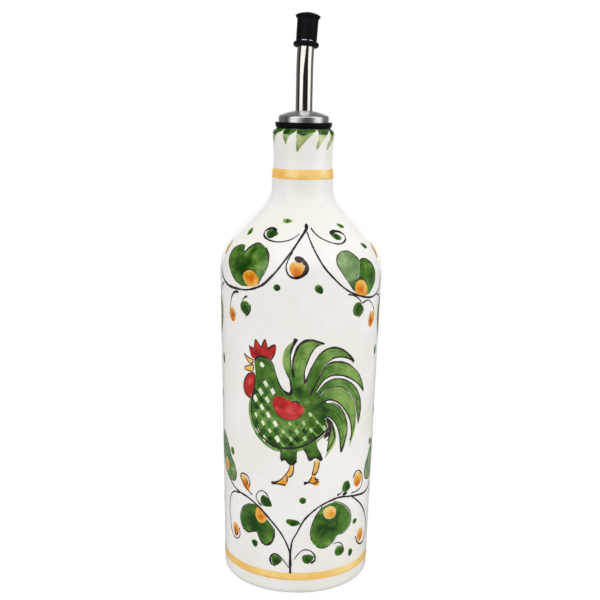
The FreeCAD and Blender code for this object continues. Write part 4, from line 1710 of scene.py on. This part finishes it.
@dataclass
class SideSprig(Motif):
    """The hanging heart leaf where the front and back arches meet."""

    def marks(self) -> list[Mark]:
        """Lays out the leaf, its stem, the shoulder buds and the loose touches of green.

        Returns:
            The marks.
        """
        rim = ((0, 146.5), (-3, 149), (-7.5, 149.3), (-11.3, 145.5), (-12, 139.5), (-9, 133), (-4, 128),
            (0, 125.5), (4, 128), (9, 133), (12, 139.5), (11.3, 145.5), (7.5, 149.3), (3, 149))
        tones = ((-7, 141, 3.5, 0.25), (7, 142, 3.5, -0.2), (0, 134, 4, 0.35), (-9, 146, 2.5, -0.1))
        marks: list[Mark] = [
            Pool(rim, (0, 138.5), Pigment.SAGE, Layer.WASH, (0.62, 0.5), 0.35, tones=tones),
            bud((0, 130.5), 6.0, 6.0, 0, Layer.DETAIL),
            ink(((-7.4, 151), (-3, 151.6), (-0.4, 149.4), (0, 146.4)), 0.5, 0.6, 0.8, 0.7),
            ink(((0, 146.2), (-3, 149.4), (-7.6, 149.8), (-11.7, 145.8), (-12.4, 139.5)), 0.6, 0.8, 0.5, 0.4),
            ink(((0, 146.2), (3, 149.4), (7.6, 149.8), (11.7, 145.8), (12.4, 139.5)), 0.6, 0.5, 0.7, 0.4),
            ink(((12.4, 139.5), (9.3, 132.7), (4.2, 127.6), (0, 125)), 0.4, 0.6, 0.8),
        ]
        for side in (-1, 1):
            heart = (side * 11.2, 175)
            marks.append(bud(heart, 3.4, 7.4, side * 22))
            marks.append(ink(((side * 11.5, 179), (side * 13.2, 175.5), (side * 11.8, 171.5)), 0.4, 0.7, 0.4))
            marks.append(dab((side * 2.4, 168.6 + side), 3.0, 3.8, side * 20, 0.5))
            marks.append(dab((side * 13.0, 121 - side * 3), 2.6, 5.2, side * 12, 0.45))
            marks.append(dab((side * 7.5, 94 + side * 4), 3.0, 4.2, side * 18, 0.5))
            marks.append(dab((side * 5.0, 42 - side * 3), 3.0, 4.4, side * -16, 0.5))
        marks.append(bud((0.5, 105), 4.2, 6.8, 8))
        marks.append(dab((0.6, 22), 5.2, 3.0, 8, 0.55))
        return marks


@dataclass(frozen=True)
class Plume:
    """One tail plume: its tip, its two edges from the root, how green its root is and where it is palest."""

    tip: Point
    top: Points
    under: Points
    flow: float
    light: tuple[float, float, float]


PLUMES = (
    Plume(
        tip=(-2, 134.8),
        top=((-2.6, 108), (-3.6, 111), (-4.7, 114.5), (-6.4, 118), (-8, 122.4), (-7.8, 127.4), (-6.1, 131.3)),
        under=((-0.6, 108), (-2, 112.5), (-3, 117), (-4, 121.5), (-4.3, 126.2), (-3.5, 130.6)),
        flow=0.42,
        light=(-6, 124, 3.5),
    ),
    Plume(
        tip=(11.6, 132.6),
        top=((-1.6, 107), (-2.5, 112), (-3, 117), (-3.4, 121.6), (-2.3, 127.7), (-0.4, 131.8), (2.6, 134.2),
            (6, 134.7), (9, 133.7)),
        under=((2.4, 106), (3.1, 110), (3.2, 115), (2.9, 119), (4.2, 123.8), (6, 128.2), (8.3, 131)),
        flow=0.52,
        light=(1, 120, 5),
    ),
    Plume(
        tip=(29.6, 122),
        top=((1.8, 105), (3.4, 110), (4.2, 115), (5.6, 119.7), (8.2, 124.7), (10.8, 128.2), (14.6, 130.1),
            (18.9, 130), (23.2, 128.1), (27, 125)),
        under=((4, 104), (7.2, 110.5), (9.6, 115.5), (12, 120.5), (14.6, 123.8), (17.4, 125), (21, 125.1),
            (25.2, 124.2)),
        flow=0.6,
        light=(14, 126, 4),
    ),
    Plume(
        tip=(38.7, 105),
        top=((4.4, 104), (7.6, 110), (10, 115), (12.7, 120.7), (15, 122.3), (18.6, 122.9), (23, 122.3),
            (28.2, 119.7), (33.4, 115.2), (37, 110)),
        under=((6.2, 103), (9.4, 109.4), (12.4, 113.9), (16, 116), (20.4, 116), (25, 114.6), (30, 112),
            (34.6, 108.6)),
        flow=0.5,
        light=(30, 116, 6),
    ),
    Plume(
        tip=(35.1, 88.4),
        top=((6.4, 102.6), (9, 107.6), (12.6, 112), (16.5, 114), (21, 114), (26.2, 112.2), (31.5, 108.2),
            (35.4, 102.8), (36.7, 97.2), (36.2, 92.4)),
        under=((7.6, 102), (11, 106.8), (15, 109.8), (19.4, 110.6), (24, 109.2), (28.8, 105.6), (32.3, 100.6),
            (34, 95)),
        flow=0.55,
        light=(20, 112, 3),
    ),
    Plume(
        tip=(29.3, 77.4),
        top=((8, 101.4), (11.4, 106.2), (15.4, 109.2), (19.4, 110), (23.6, 108.6), (28.2, 105), (31.6, 100),
            (33.2, 94), (33, 87), (31.2, 81.4)),
        under=((9, 100.8), (12, 103), (15.4, 103.8), (19.2, 102.6), (23, 99.6), (26.6, 95), (29.2, 89.8),
            (30.1, 84)),
        flow=0.42,
        light=(24, 104, 6),
    ),
    Plume(
        tip=(23.7, 74.6),
        top=((9.4, 100.4), (13, 102), (17, 102.2), (21, 99.8), (24.6, 95.2), (26.7, 89.8), (26.5, 84),
            (25, 79)),
        under=((11.4, 95.6), (14.6, 95.6), (17.4, 93.6), (20.4, 89.6), (22.2, 84.4), (22.8, 79.4)),
        flow=0.66,
        light=(25, 86, 4),
    ),
    Plume(
        tip=(14.6, 73.8),
        top=((14.4, 94.4), (17.4, 92), (19.6, 88), (20.4, 83.5), (18.8, 79.2)),
        under=((14, 93.6), (15.6, 90.3), (16.4, 86.4), (16, 81.6), (15.6, 77.4)),
        flow=0.45,
        light=(18, 80, 4),
    ),
)


@dataclass
class Rooster:
    """The green rooster: comb, checked breast, red wing, nine tail plumes, breeches and feet."""

    canvas: Canvas
    name: str
    checks_top: float = 114.6
    first_check: Point = (-20.0, 107.3)
    check_down: Point = (3.9, -3.8)
    check_across: Point = (-3.15, -4.3)
    check_rows: tuple[int, int] = (-4, 8)
    check_columns: tuple[int, int] = (-6, 12)
    check_jitter: float = 0.25
    check_sizes: Point = (0.72, 1.2)
    check_loads: Point = (-0.15, 0.25)
    dark_share: float = 0.93
    dark_width: float = 2.5
    rim_width: float = 1.4
    rim_load: float = 0.6
    pale_side: float = -7.5
    dark_margin: float = 1.2
    pale_margin: float = 1.9
    thread_margin: float = 1.3
    wing_heart: Point = (-5.2, 99.7)
    wing_squeeze: float = 0.72
    wing_reach: float = 6.6
    plume_fade: tuple[float, ...] = (0.14, -0.08, -0.2, -0.24)
    back: Points = ((-23, 122.5), (-21, 124.4), (-18, 124.8), (-15.3, 123.7), (-13.2, 121.5), (-12.2, 118.5),
        (-11, 115), (-9.6, 111.5), (-7.4, 109), (-4.9, 107.6), (-3.2, 108.2), (-0.8, 106.5), (2.1, 104),
        (5.2, 101.6), (9, 99.5), (12, 96), (14.5, 92.5), (15.5, 89))
    front: Points = ((-23.6, 121.6), (-23, 117.6), (-22.8, 113.5), (-23.6, 108.8), (-25.2, 103.8),
        (-26.2, 98.4), (-25.7, 92.7), (-23.4, 87.8), (-20.3, 83.8), (-16.3, 80.8), (-12, 78.9), (-7.2, 78.3),
        (-2.4, 78.6), (1.6, 79.4), (5.7, 81.2), (9.7, 83.7), (13, 86.1), (15.5, 88.8))

    def body(self) -> list[Mark]:
        """Lays out the head, neck and breast in one wash, with its dark line.

        Returns:
            The marks.
        """
        tones = ((-18.5, 118, 3.5, 0.2), (-20, 113, 4, 0.12), (-12, 110, 4, 0.15), (-22, 86, 4, 0.3),
            (-13, 81, 4.5, 0.35), (-4, 80.5, 4.5, 0.3), (6, 84, 4.5, 0.35), (13, 88, 4, 0.3),
            (-24, 97, 2.5, 0.15), (2, 88, 6, -0.1), (-6, 90, 6, -0.05), (9, 99, 5, 0.15))
        belly = ((-23.2, 106.5), (-24.9, 102), (-25.4, 97.5), (-24.7, 92.5), (-22.6, 88.3), (-19.6, 84.6),
            (-15.8, 81.7), (-11.7, 79.8), (-7.2, 79.2), (-2.4, 79.5), (1.4, 80.3), (5.4, 82), (9.4, 84.4),
            (13.4, 87.6))
        fringe = ((-23.9, 108), (-25.6, 103.5), (-26.7, 98.2), (-26.2, 92.4), (-23.9, 87.3), (-20.7, 83.2),
            (-16.5, 80.1), (-12.1, 78.2), (-7.2, 77.6), (-2.3, 77.9), (2, 78.8), (6.1, 80.5), (10.1, 83),
            (13.6, 85.6))
        nape = ((-23.4, 122.4), (-21.3, 124.7), (-18, 125.1), (-15, 124), (-13, 121.7), (-12, 118.5),
            (-10.8, 114.8), (-9.3, 111.2), (-7.2, 108.7), (-4.6, 107.5))
        return [
            Blade(self.back, self.front, Pigment.GREEN, Layer.WASH, (0.6, 0.5, 0.45, 0.5, 0.6), 0.4, tones),
            Stroke(fringe, (0.6, 1.1, 1.3, 1.4, 1.3, 0.8), Pigment.GREEN, Layer.BLEND, (0.1, 0.25, 0.3, 0.2)),
            ink(belly, 0.4, 0.6, 0.5, 0.7, 0.9, 0.8, 1.2, 1.0, 1.3, 0.9, layer=Layer.ACCENT),
            ink(nape, 1.1, 0.9, 0.6, 0.4, 0.5, 0.7, 1.1),
            ink(((-7.4, 109), (-5, 107.2), (-3.6, 108.6), (-3.7, 111.5), (-4.5, 114.8), (-6.4, 118.3)), 0.8,
                1.6, 1.1, 0.7, 0.4),
        ]

    def inside(self, place: Point, margin: float) -> bool:
        """Tells whether a place lies on the breast, clear of its rim.

        Args:
            place: the place.
            margin: how clear, in millimetres.

        Returns:
            True when it does.
        """
        rim = self.back + self.front[::-1]
        hit = False
        for start, end in zip(rim, rim[1:] + rim[:1]):
            if math.dist(start, place) < margin:
                return False
            if (start[1] > place[1]) != (end[1] > place[1]):
                cross = start[0] + (place[1] - start[1]) * (end[0] - start[0]) / (end[1] - start[1])
                hit ^= place[0] < cross
        aside = (place[0] - self.wing_heart[0]) * self.wing_squeeze
        return hit and math.hypot(aside, place[1] - self.wing_heart[1]) >= self.wing_reach

    def checks(self) -> list[Mark]:
        """Lays out the woven checks: pale lines, pale lozenges where they cross and dark ones between.

        Returns:
            The marks.
        """
        hand = random.Random(self.canvas.seed + 5)
        marks: list[Mark] = []
        first, down, across, jitter = self.first_check, self.check_down, self.check_across, self.check_jitter
        for row in range(*self.check_rows):
            for column in range(*self.check_columns):
                spot = (
                    first[0] + down[0] * column + across[0] * row + hand.uniform(-jitter, jitter),
                    first[1] + down[1] * column + across[1] * row + hand.uniform(-jitter, jitter),
                )
                size, load = hand.uniform(*self.check_sizes), hand.uniform(*self.check_loads)
                chance = hand.random()
                if spot[1] > self.checks_top:
                    continue
                marks += self.threads(spot, load)
                gap = (spot[0] + (down[0] + across[0]) / 2, spot[1] + (down[1] + across[1]) / 2)
                if self.inside(gap, self.dark_margin) and chance < self.dark_share:
                    rim = min(1.0, max(0.0, (94 - gap[1]) / 12, (-16 - gap[0]) / 8))
                    wide = (self.dark_width + self.rim_width * rim) * size
                    depth = 0.05 + self.rim_load * rim + load
                    marks.append(self.lozenge(gap, wide, wide, Pigment.DARK, Layer.BLEND, depth))
                if self.inside(spot, self.pale_margin):
                    pale = spot[0] < self.pale_side
                    wide, tall = (2.9, 3.7) if pale else (2.3, 2.9)
                    depth = 0.2 + load if pale else 0.85 + load
                    touch = (wide * size, tall * size, Pigment.BARE, Layer.LINE, depth)
                    marks.append(self.lozenge(spot, *touch))
        return marks

    def threads(self, spot: Point, load: float) -> list[Mark]:
        """Lays out the pale lines that leave one crossing.

        Args:
            spot: the crossing.
            load: how much colour the brush carries.

        Returns:
            The lines that stay on the breast.
        """
        lines: list[Mark] = []
        for way, wide, base in ((self.check_down, 0.9, 0.25), (self.check_across, 0.6, 0.4)):
            end = (spot[0] + way[0], spot[1] + way[1])
            middle = (spot[0] + way[0] / 2 + 0.15, spot[1] + way[1] / 2)
            if self.inside(spot, self.thread_margin) and self.inside(end, self.thread_margin):
                flow = max(0.02, base + load)
                lines.append(Stroke((spot, middle, end), (wide,), Pigment.GREEN, Layer.DETAIL, (flow, flow)))
        return lines

    def lozenge(
        self, heart: Point, wide: float, tall: float, pigment: Pigment, layer: Layer, depth: float,
    ) -> Pool:
        """Sets down one touch with four corners.

        Args:
            heart: its middle.
            wide: its width.
            tall: its height.
            pigment: its colour.
            layer: the coat it belongs to.
            depth: how much colour it carries.

        Returns:
            The touch.
        """
        rim = (
            (heart[0] - wide * 0.5, heart[1] + tall * 0.14),
            (heart[0] - wide * 0.02, heart[1] + tall * 0.5),
            (heart[0] + wide * 0.5, heart[1] - tall * 0.12),
            (heart[0] + wide * 0.06, heart[1] - tall * 0.5),
        )
        depth = min(max(depth, 0.0), 0.95)
        return Pool(rim, heart, pigment, layer, (depth, depth + 0.05), 0.0, sharp=True)

    def head(self) -> list[Mark]:
        """Lays out the comb, beak, eye and wattle.

        Returns:
            The marks.
        """
        comb = ((-24.4, 123.4), (-26, 126), (-26.8, 129.6), (-25, 128.8), (-23.6, 127.8), (-23.3, 131),
            (-22.5, 133.7), (-21, 131.4), (-19.4, 129.8), (-18.6, 132.5), (-17.3, 134.2), (-16.4, 131.5),
            (-16, 129.2), (-14.4, 131.2), (-11.9, 131.9), (-11.7, 129), (-12.5, 126.3), (-14.2, 123.7),
            (-16.5, 125), (-20.3, 124.6))
        wattle = ((-24, 116.2), (-27, 115.2), (-29.6, 112.3), (-30.6, 108.5), (-29.7, 105), (-27.2, 103),
            (-25, 103.3), (-24.2, 106.6), (-23.3, 110.4), (-23.1, 114.4))
        upper = ((-30.2, 125), (-27.6, 123.6), (-24, 122.3), (-25.8, 120.4), (-28, 121.8))
        lower = ((-24.3, 120.3), (-27, 119.3), (-30.2, 117.8), (-28.5, 116.7), (-24.4, 116.9))
        eye = ((-20, 121.2), (-19.5, 122.3), (-18.8, 121.7), (-17.9, 121.4), (-18, 120.3), (-18.8, 119.7),
            (-19.7, 120.2))
        return [
            Pool(comb, (-19, 127.2), Pigment.RED, Layer.WASH, (0.62, 0.5), 0.2, tones=((-22, 126, 3, 0.2),
                (-14, 128, 2.5, 0.15))),
            ink(((-26.7, 129.7), (-25.8, 127.6)), 0.6, 0.3),
            ink(((-22.8, 133.2), (-23.5, 130.5), (-23.5, 128.2)), 0.6, 0.3),
            ink(((-22.2, 133), (-20.4, 130.4), (-19.2, 129.9), (-18.4, 132.4), (-17.5, 134)), 0.4, 0.8, 0.6),
            ink(((-17.2, 133.6), (-16.3, 131), (-15.7, 128.8), (-13.4, 131), (-12, 131.8)), 0.5, 0.4, 0.8,
                0.6),
            ink(((-12.3, 127.8), (-13.2, 125.6), (-14.2, 123.9)), 0.4, 0.7, 0.4),
            Pool(upper, (-26.6, 122), Pigment.ORANGE, Layer.WASH, (0.35, 0.2), 0.0),
            ink((*upper, upper[0]), 0.5, 0.6, 0.45),
            Pool(lower, (-26.4, 118.3), Pigment.ORANGE, Layer.WASH, (0.35, 0.2), 0.0),
            ink((*lower, lower[0]), 0.6, 0.45, 0.5),
            Pool(wattle, (-26.8, 109.6), Pigment.RED, Layer.BLEND, (0.5, 0.62), 0.15,
                tones=((-27.2, 111, 2.2, -0.3),)),
            ink((*wattle, wattle[0]), 0.5, 0.7, 0.9, 0.6),
            Pool(eye, (-18.9, 121.1), Pigment.BARE, Layer.DETAIL, (0.05, 0.1), 0.0),
        ]

    def wing(self) -> list[Mark]:
        """Lays out the red wing.

        Returns:
            The marks.
        """
        rim = ((-12.3, 104.6), (-11, 105.8), (-8.4, 105.4), (-5.3, 104.1), (-2.3, 103.2), (0.7, 102),
            (3, 99.8), (2, 97.5), (0, 95.4), (-3, 94.2), (-6.7, 94.5), (-10, 96), (-12.2, 99), (-12.8, 102))
        tones = ((-4, 98.5, 2.4, -0.38), (-9, 97.5, 1.8, -0.2), (-9, 102, 3, 0.2), (0.5, 102.5, 1.5, 0.4),
            (2.3, 98.6, 1.8, -0.35))
        return [
            Pool(rim, (-5.5, 99.6), Pigment.RED, Layer.DETAIL, (0.5, 0.48), 0.0, tones=tones),
            ink(((-12.8, 101), (-11.9, 98.4), (-9.8, 96), (-6.7, 94.3), (-3, 94), (0.2, 95.2), (2.2, 97.6)),
                0.3, 0.4, 0.35),
            ink(((-3.2, 103.3), (-1, 103.8), (0.2, 102.6), (1, 103.2)), 0.5, 1.0, 0.6),
        ]

    def plume(self, plume: Plume) -> Blade:
        """Lays out one tail plume's wash, greenest at its root.

        Args:
            plume: its edges and colour.

        Returns:
            The wash.
        """
        flows = tuple(plume.flow + change for change in self.plume_fade)
        tones = ((*plume.light, -0.22),)
        edges = ((*plume.top, plume.tip), (*plume.under, plume.tip))
        return Blade(*edges, Pigment.GREEN, Layer.WASH, flows, 0.35, tones)

    def tail(self) -> list[Mark]:
        """Lays out the plumes and their dark lines.

        Returns:
            The marks.
        """
        root = ((-3, 108), (-1.4, 110.4), (1.2, 111.4), (4.4, 111), (7.2, 109.4), (9.6, 107.4), (12, 104.8),
            (14.4, 102.4), (15.8, 99.4), (15.2, 96), (12.6, 94), (9, 95), (5, 98.6), (1.6, 103.4),
            (-1, 105.6))
        shade = ((2, 107, 3.5, 0.3), (8, 103, 4, 0.1), (12, 98, 4, 0.3), (5, 103, 2.5, -0.25))
        washes: list[Mark] = [self.plume(plume) for plume in PLUMES]
        washes += [
            Stroke(((-2.6, 107.6), (-2.4, 111.5), (-3.3, 116.8)), (2.0, 2.4, 1.1), Pigment.GREEN, Layer.BLEND,
                (0.55, 0.45)),
            Stroke(((3.2, 107.6), (3.3, 111), (3.2, 113)), (1.5, 1.4, 0.7), Pigment.GREEN, Layer.BLEND,
                (0.55, 0.5)),
            Pool(root, (6.5, 103), Pigment.GREEN, Layer.BLEND, (0.62, 0.6), 0.0, tones=shade),
        ]
        knot = [
            ink(((14.6, 95), (16.1, 92.6), (16.4, 90.4), (15.6, 88)), 0.6, 1.7, 1.9, 0.8, load=0.6),
            ink(((16.8, 91.4), (17.1, 88.6), (15.6, 86), (13.6, 84.2)), 0.5, 1.3, 1.7, 0.9, load=0.65),
            ink(((15.4, 89), (14.6, 86.4), (13, 85.4)), 0.6, 1.2, 0.5, load=0.6),
            ink(((16.9, 87.4), (16.6, 84.6), (15, 82.6)), 0.5, 0.9, 0.4, load=0.6),
        ]
        lines = [
            ink(((-1.7, 135.4), (-2.5, 133.4), (-3.7, 130.4), (-4.4, 126), (-4, 121.3), (-3.3, 117.8)), 1.9,
                1.2, 0.6, 0.5, 0.4),
            ink(((-2.6, 116), (-3.2, 121.6), (-2.3, 127.5), (-0.4, 131.8), (2.6, 134.3), (6, 134.8),
                (9, 133.8), (12.2, 132.6)), 1.3, 0.6, 0.9, 1.1, 1.2, 0.9, 1.2),
            ink(((9.4, 132.6), (7.4, 130.4), (5.2, 126.8), (3.4, 121.6), (2.6, 117.4), (3, 112.6)), 0.5, 0.6,
                0.5, 0.9),
            ink(((3, 112.6), (4.4, 116.4), (6, 120.8), (8.4, 125), (11, 128.4), (14.8, 130.3), (19, 130.2),
                (23.4, 128.3), (27.2, 125.2), (29.8, 121.6)), 1.0, 0.6, 0.5, 0.6, 0.9, 1.0, 0.8, 1.7),
            ink(((29.2, 122.6), (25.2, 124.4), (21, 125.3), (17.2, 125.1), (13.2, 122.4)), 1.0, 0.7, 0.7,
                0.4),
            ink(((5.4, 106.4), (8, 111.6), (10.4, 116.4), (12.6, 120.6), (15, 122.5), (18.6, 123.1),
                (23, 122.5), (28.2, 119.9), (33.5, 115.3), (37.1, 110), (38.8, 104.6)), 0.9, 0.7, 0.6, 0.9,
                0.6, 0.4, 0.4, 0.6),
            ink(((9, 109.4), (12.4, 114), (16, 116.2), (20.4, 116.2), (25, 114.9), (30, 112.3), (34.8, 108.8),
                (38.4, 105.4)), 0.4, 0.6, 0.8, 0.7, 0.6, 1.1),
            ink(((7.8, 105.4), (9.4, 108), (12.8, 112.2), (16.6, 114.2), (21, 114.2), (26.3, 112.4),
                (31.6, 108.4), (35.5, 102.9), (36.9, 97), (36.4, 92), (35.2, 88.4)), 0.5, 0.5, 0.6, 0.7, 0.5,
                0.6, 0.6, 0.7),
            ink(((9.4, 104.8), (11.4, 106.6), (15.2, 109.6), (19.4, 110.4), (23.8, 109), (28.5, 105.4),
                (32, 100.4), (33.8, 95), (34.6, 90.6)), 0.4, 0.5, 0.6, 0.4, 0.5, 0.4),
            ink(((10.4, 101.6), (12.4, 103), (15.6, 104), (19.4, 102.9), (23.4, 99.8), (27, 95.2), (29.6, 90),
                (30.4, 84), (29.4, 80.6)), 0.5, 0.8, 0.6, 0.5, 0.7, 0.9),
            ink(((17.4, 102.6), (21.3, 100.2), (24.9, 95.4), (27, 89.9), (26.9, 84), (25.3, 78.8),
                (23.8, 75.6)), 0.4, 0.7, 0.6, 0.7, 1.3),
            ink(((14.8, 95.6), (17.6, 93.9), (20.6, 89.8), (22.5, 84.4), (23.1, 79.4), (23.7, 76)), 0.6, 0.5,
                0.6, 0.4, 0.8),
            ink(((14, 95.2), (17.3, 92.3), (18.9, 88), (19.2, 84), (17.6, 80.2), (15.4, 77)), 0.6, 0.9, 0.6,
                0.7),
            ink(((16.4, 88.6), (16.2, 83.4), (15.6, 77.6)), 0.7, 0.5, 0.6),
            *knot,
        ]
        return washes + lines

    def legs(self) -> list[Mark]:
        """Lays out the breeches, legs and feet.

        Returns:
            The marks.
        """
        left = ((-8.6, 80), (-8.4, 75.4), (-8.3, 72.4), (-6, 73.3), (-4.4, 71.8), (-2.3, 71.2), (-0.6, 73.2),
            (-0.6, 76), (-0.9, 80.2))
        right = ((2.2, 81), (4.7, 76.4), (6.4, 73.2), (7.7, 74.2), (9.4, 74.6), (12.7, 72.8), (12, 76.2),
            (10.3, 79), (8.4, 83.6))
        dark = ((-7, 72.8, 1.8, 0.5), (-2.5, 72, 2, 0.5), (-4.5, 77, 2, -0.1))
        deep = ((7, 74, 2, 0.45), (11.6, 74, 2, 0.45))
        shin = ((-3.5, 71.6), (-4.2, 68), (-6, 65.2), (-8, 62.8), (-10.5, 61), (-13.4, 60))
        calf = ((-1.8, 71.6), (-2, 68), (-2.6, 65.6), (-4.6, 63.6), (-5.2, 61.4), (-6, 59.6))
        return [
            Pool(left, (-4.6, 75.6), Pigment.GREEN, Layer.BLEND, (0.55, 0.6), 0.0, tones=dark),
            Pool(right, (8, 77), Pigment.GREEN, Layer.BLEND, (0.55, 0.6), 0.0, tones=deep),
            ink(((-8.4, 78.4), (-8.5, 75), (-8.3, 72.6), (-6.4, 73.4), (-4.6, 71.6), (-2.3, 71), (-0.5, 73)),
                0.4, 0.7, 1.2, 0.8, 1.5, 1.0),
            ink(((3.2, 79.4), (5, 76), (6.6, 73), (8.2, 74.2), (10, 74.3), (12.8, 72.6), (11.8, 75.4)), 0.3,
                0.5, 1.5, 0.8, 1.5, 0.8),
            Blade(shin, calf, Pigment.ORANGE, Layer.WASH, (0.1, 0.2, 0.35, 0.5), 0.0),
            ink(((-3.7, 70.4), (-4.5, 67.6), (-6.3, 64.9), (-8.6, 62.4), (-11.5, 60.7), (-13.6, 60.3)), 0.4,
                0.5, 0.6, 1.4),
            ink(((-1.7, 70.8), (-1.9, 67.6), (-2.7, 65.2), (-4.4, 64)), 0.4, 0.6, 0.9),
            ink(((-5.4, 65), (-5.1, 63), (-5.3, 61.4)), 0.5, 0.8),
            ink(((-13.4, 59.9), (-9.6, 60), (-6, 59.5)), 1.0, 0.6, 0.9),
            Blade(((9, 72.8), (8.7, 69.6), (8, 66.6), (7.4, 64)), ((11.4, 72.8), (11.1, 69.6), (10.2, 66.6),
                (9.2, 64.4)), Pigment.ORANGE, Layer.WASH, (0.15, 0.35), 0.0),
            ink(((8.9, 72), (8.6, 69), (8, 66.4), (7.9, 65.2)), 0.5, 0.4, 0.8),
            ink(((11.5, 72), (11.2, 69.2), (10.3, 66.4), (8.6, 65.2)), 0.5, 0.5, 0.9),
            Pool(((6.4, 62.4), (8.2, 64.4), (9.8, 63.4), (11.8, 61.6), (11.2, 59.8), (8.4, 60)), (9, 61.8),
                Pigment.ORANGE, Layer.WASH, (0.4, 0.4), 0.2, tones=((10.2, 60.4, 1.4, 0.5),)),
            ink(((3.6, 60.9), (5.6, 61.2), (6.8, 62.6), (7.6, 64.4)), 1.7, 0.7, 0.5),
            ink(((4.4, 60.8), (6.6, 61.2), (8.6, 60.6), (11.2, 61.8)), 0.8, 0.5, 0.8),
            ink(((9.4, 64), (10, 62.4), (11.4, 62.8)), 0.5, 1.1, 0.5),
        ]

    def build(self) -> list[bpy.types.Object]:
        """Paints the rooster.

        Returns:
            The body piece and the tail piece.
        """
        figure = self.body() + self.checks() + self.head() + self.wing() + self.legs()
        return [
            self.canvas.gather(self.name + "_tail", self.tail()),
            self.canvas.gather(self.name, figure),
        ]


PAINTS = (
    PaintFinish(Pigment.GREEN, Shade(134, 166, 86), Shade(70, 115, 35), Shade(22, 62, 5)),
    PaintFinish(Pigment.SAGE, Shade(152, 175, 124), Shade(98, 132, 76), Shade(48, 88, 34)),
    PaintFinish(Pigment.DARK, Shade(62, 102, 36), Shade(30, 68, 14), Shade(14, 38, 5)),
    PaintFinish(Pigment.OLIVE, Shade(202, 212, 158), Shade(124, 146, 66), Shade(44, 72, 18)),
    PaintFinish(Pigment.ORANGE, Shade(236, 198, 122), Shade(224, 155, 44), Shade(204, 104, 8)),
    PaintFinish(
        Pigment.YELLOW, Shade(248, 224, 168), Shade(243, 203, 118), Shade(232, 176, 78), 0.5, 0.6, 0.12,
    ),
    PaintFinish(Pigment.RED, Shade(212, 90, 80), Shade(186, 34, 34), Shade(140, 14, 18)),
    PaintFinish(Pigment.LINE, Shade(110, 92, 88), Shade(54, 42, 44), Shade(26, 20, 24)),
    PaintFinish(Pigment.BARE, Shade(230, 236, 214), Shade(204, 218, 178), Shade(168, 194, 134)),
)

NODE_FINISHES: dict[str, RubberFinish | MetalFinish] = {
    "stopper": RubberFinish("stopper_rubber", Shade(6, 8, 11), Shade(13, 15, 19), (0.34, 0.5), 0.35),
    "tube_ring": RubberFinish("ring_rubber", Shade(8, 10, 13), Shade(15, 16, 19), (0.4, 0.55), 0.5),
    "spout_cap": RubberFinish("cap_rubber", Shade(5, 8, 13), Shade(13, 16, 22), (0.4, 0.56), 0.5),
    "pourer_dome": MetalFinish("dome_steel", Shade(226, 226, 228), (0.26, 0.36), (40.0, 40.0, 2600.0), 0.25),
    "spout_tube": MetalFinish(
        "tube_steel", Shade(236, 234, 229), (0.05, 0.1), (2600.0, 2600.0, 30.0), 0.1, 0.75, 246.2,
    ),
}


def corners() -> list[list[float]]:
    """Lists the lowest and highest corners of the whole model as plain numbers."""
    return [[float(value) for value in corner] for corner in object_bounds()]


def main() -> None:
    """Builds the studio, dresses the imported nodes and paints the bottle."""
    logging.basicConfig(level=logging.INFO, format="%(message)s")
    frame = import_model()
    bpy.ops.object.select_all(action="DESELECT")
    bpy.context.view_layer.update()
    Studio().build()
    glaze, brush = FiredGlaze().build(), LoadedBrush().build()
    nodes = frame["nodes"]
    dress(nodes["bottle"], GlazeFinish().build(glaze))
    for name, finish in NODE_FINISHES.items():
        dress(nodes[name], finish.build())
        LOG.info("dressed %s", name)
    wall = BottleWall(nodes["bottle"])
    wall.measure()
    paints = {finish.pigment: finish.build(glaze, brush) for finish in PAINTS}
    for piece in painted_pieces(wall, paints):
        LOG.info("painted %s, %d faces", piece.name, len(piece.data.polygons))


def dress(node: bpy.types.Object, material: bpy.types.Material) -> None:
    """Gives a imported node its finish."""
    for slot in node.material_slots:
        slot.material = material


def painted_pieces(wall: BottleWall, paints: dict[Pigment, bpy.types.Material]) -> list[bpy.types.Object]:
    """Paints the whole bottle.

    Args:
        wall: the bottle's wall.
        paints: the fired colours.

    Returns:
        Every painted piece.
    """
    pieces = Bands(Canvas(wall, paints, seed=11)).build()
    pieces += LipLeaves(Canvas(wall, paints, seed=12), "lip_leaves").build()
    for number, (side, turn) in enumerate((("front", 0.0), ("back", math.pi))):
        pieces += UpperVine(Canvas(wall, paints, turn, 20 + number), side + "_upper_vine").build()
        pieces += LowerVine(Canvas(wall, paints, turn, 30 + number), side + "_lower_vine").build()
        pieces += Rooster(Canvas(wall, paints, turn, 40 + number), side + "_rooster").build()
        pieces += SideSprig(
            Canvas(wall, paints, turn + math.pi / 2, 50 + number), side + "_side_sprig",
        ).build()
    return pieces


if __name__ == "__main__":
    main()
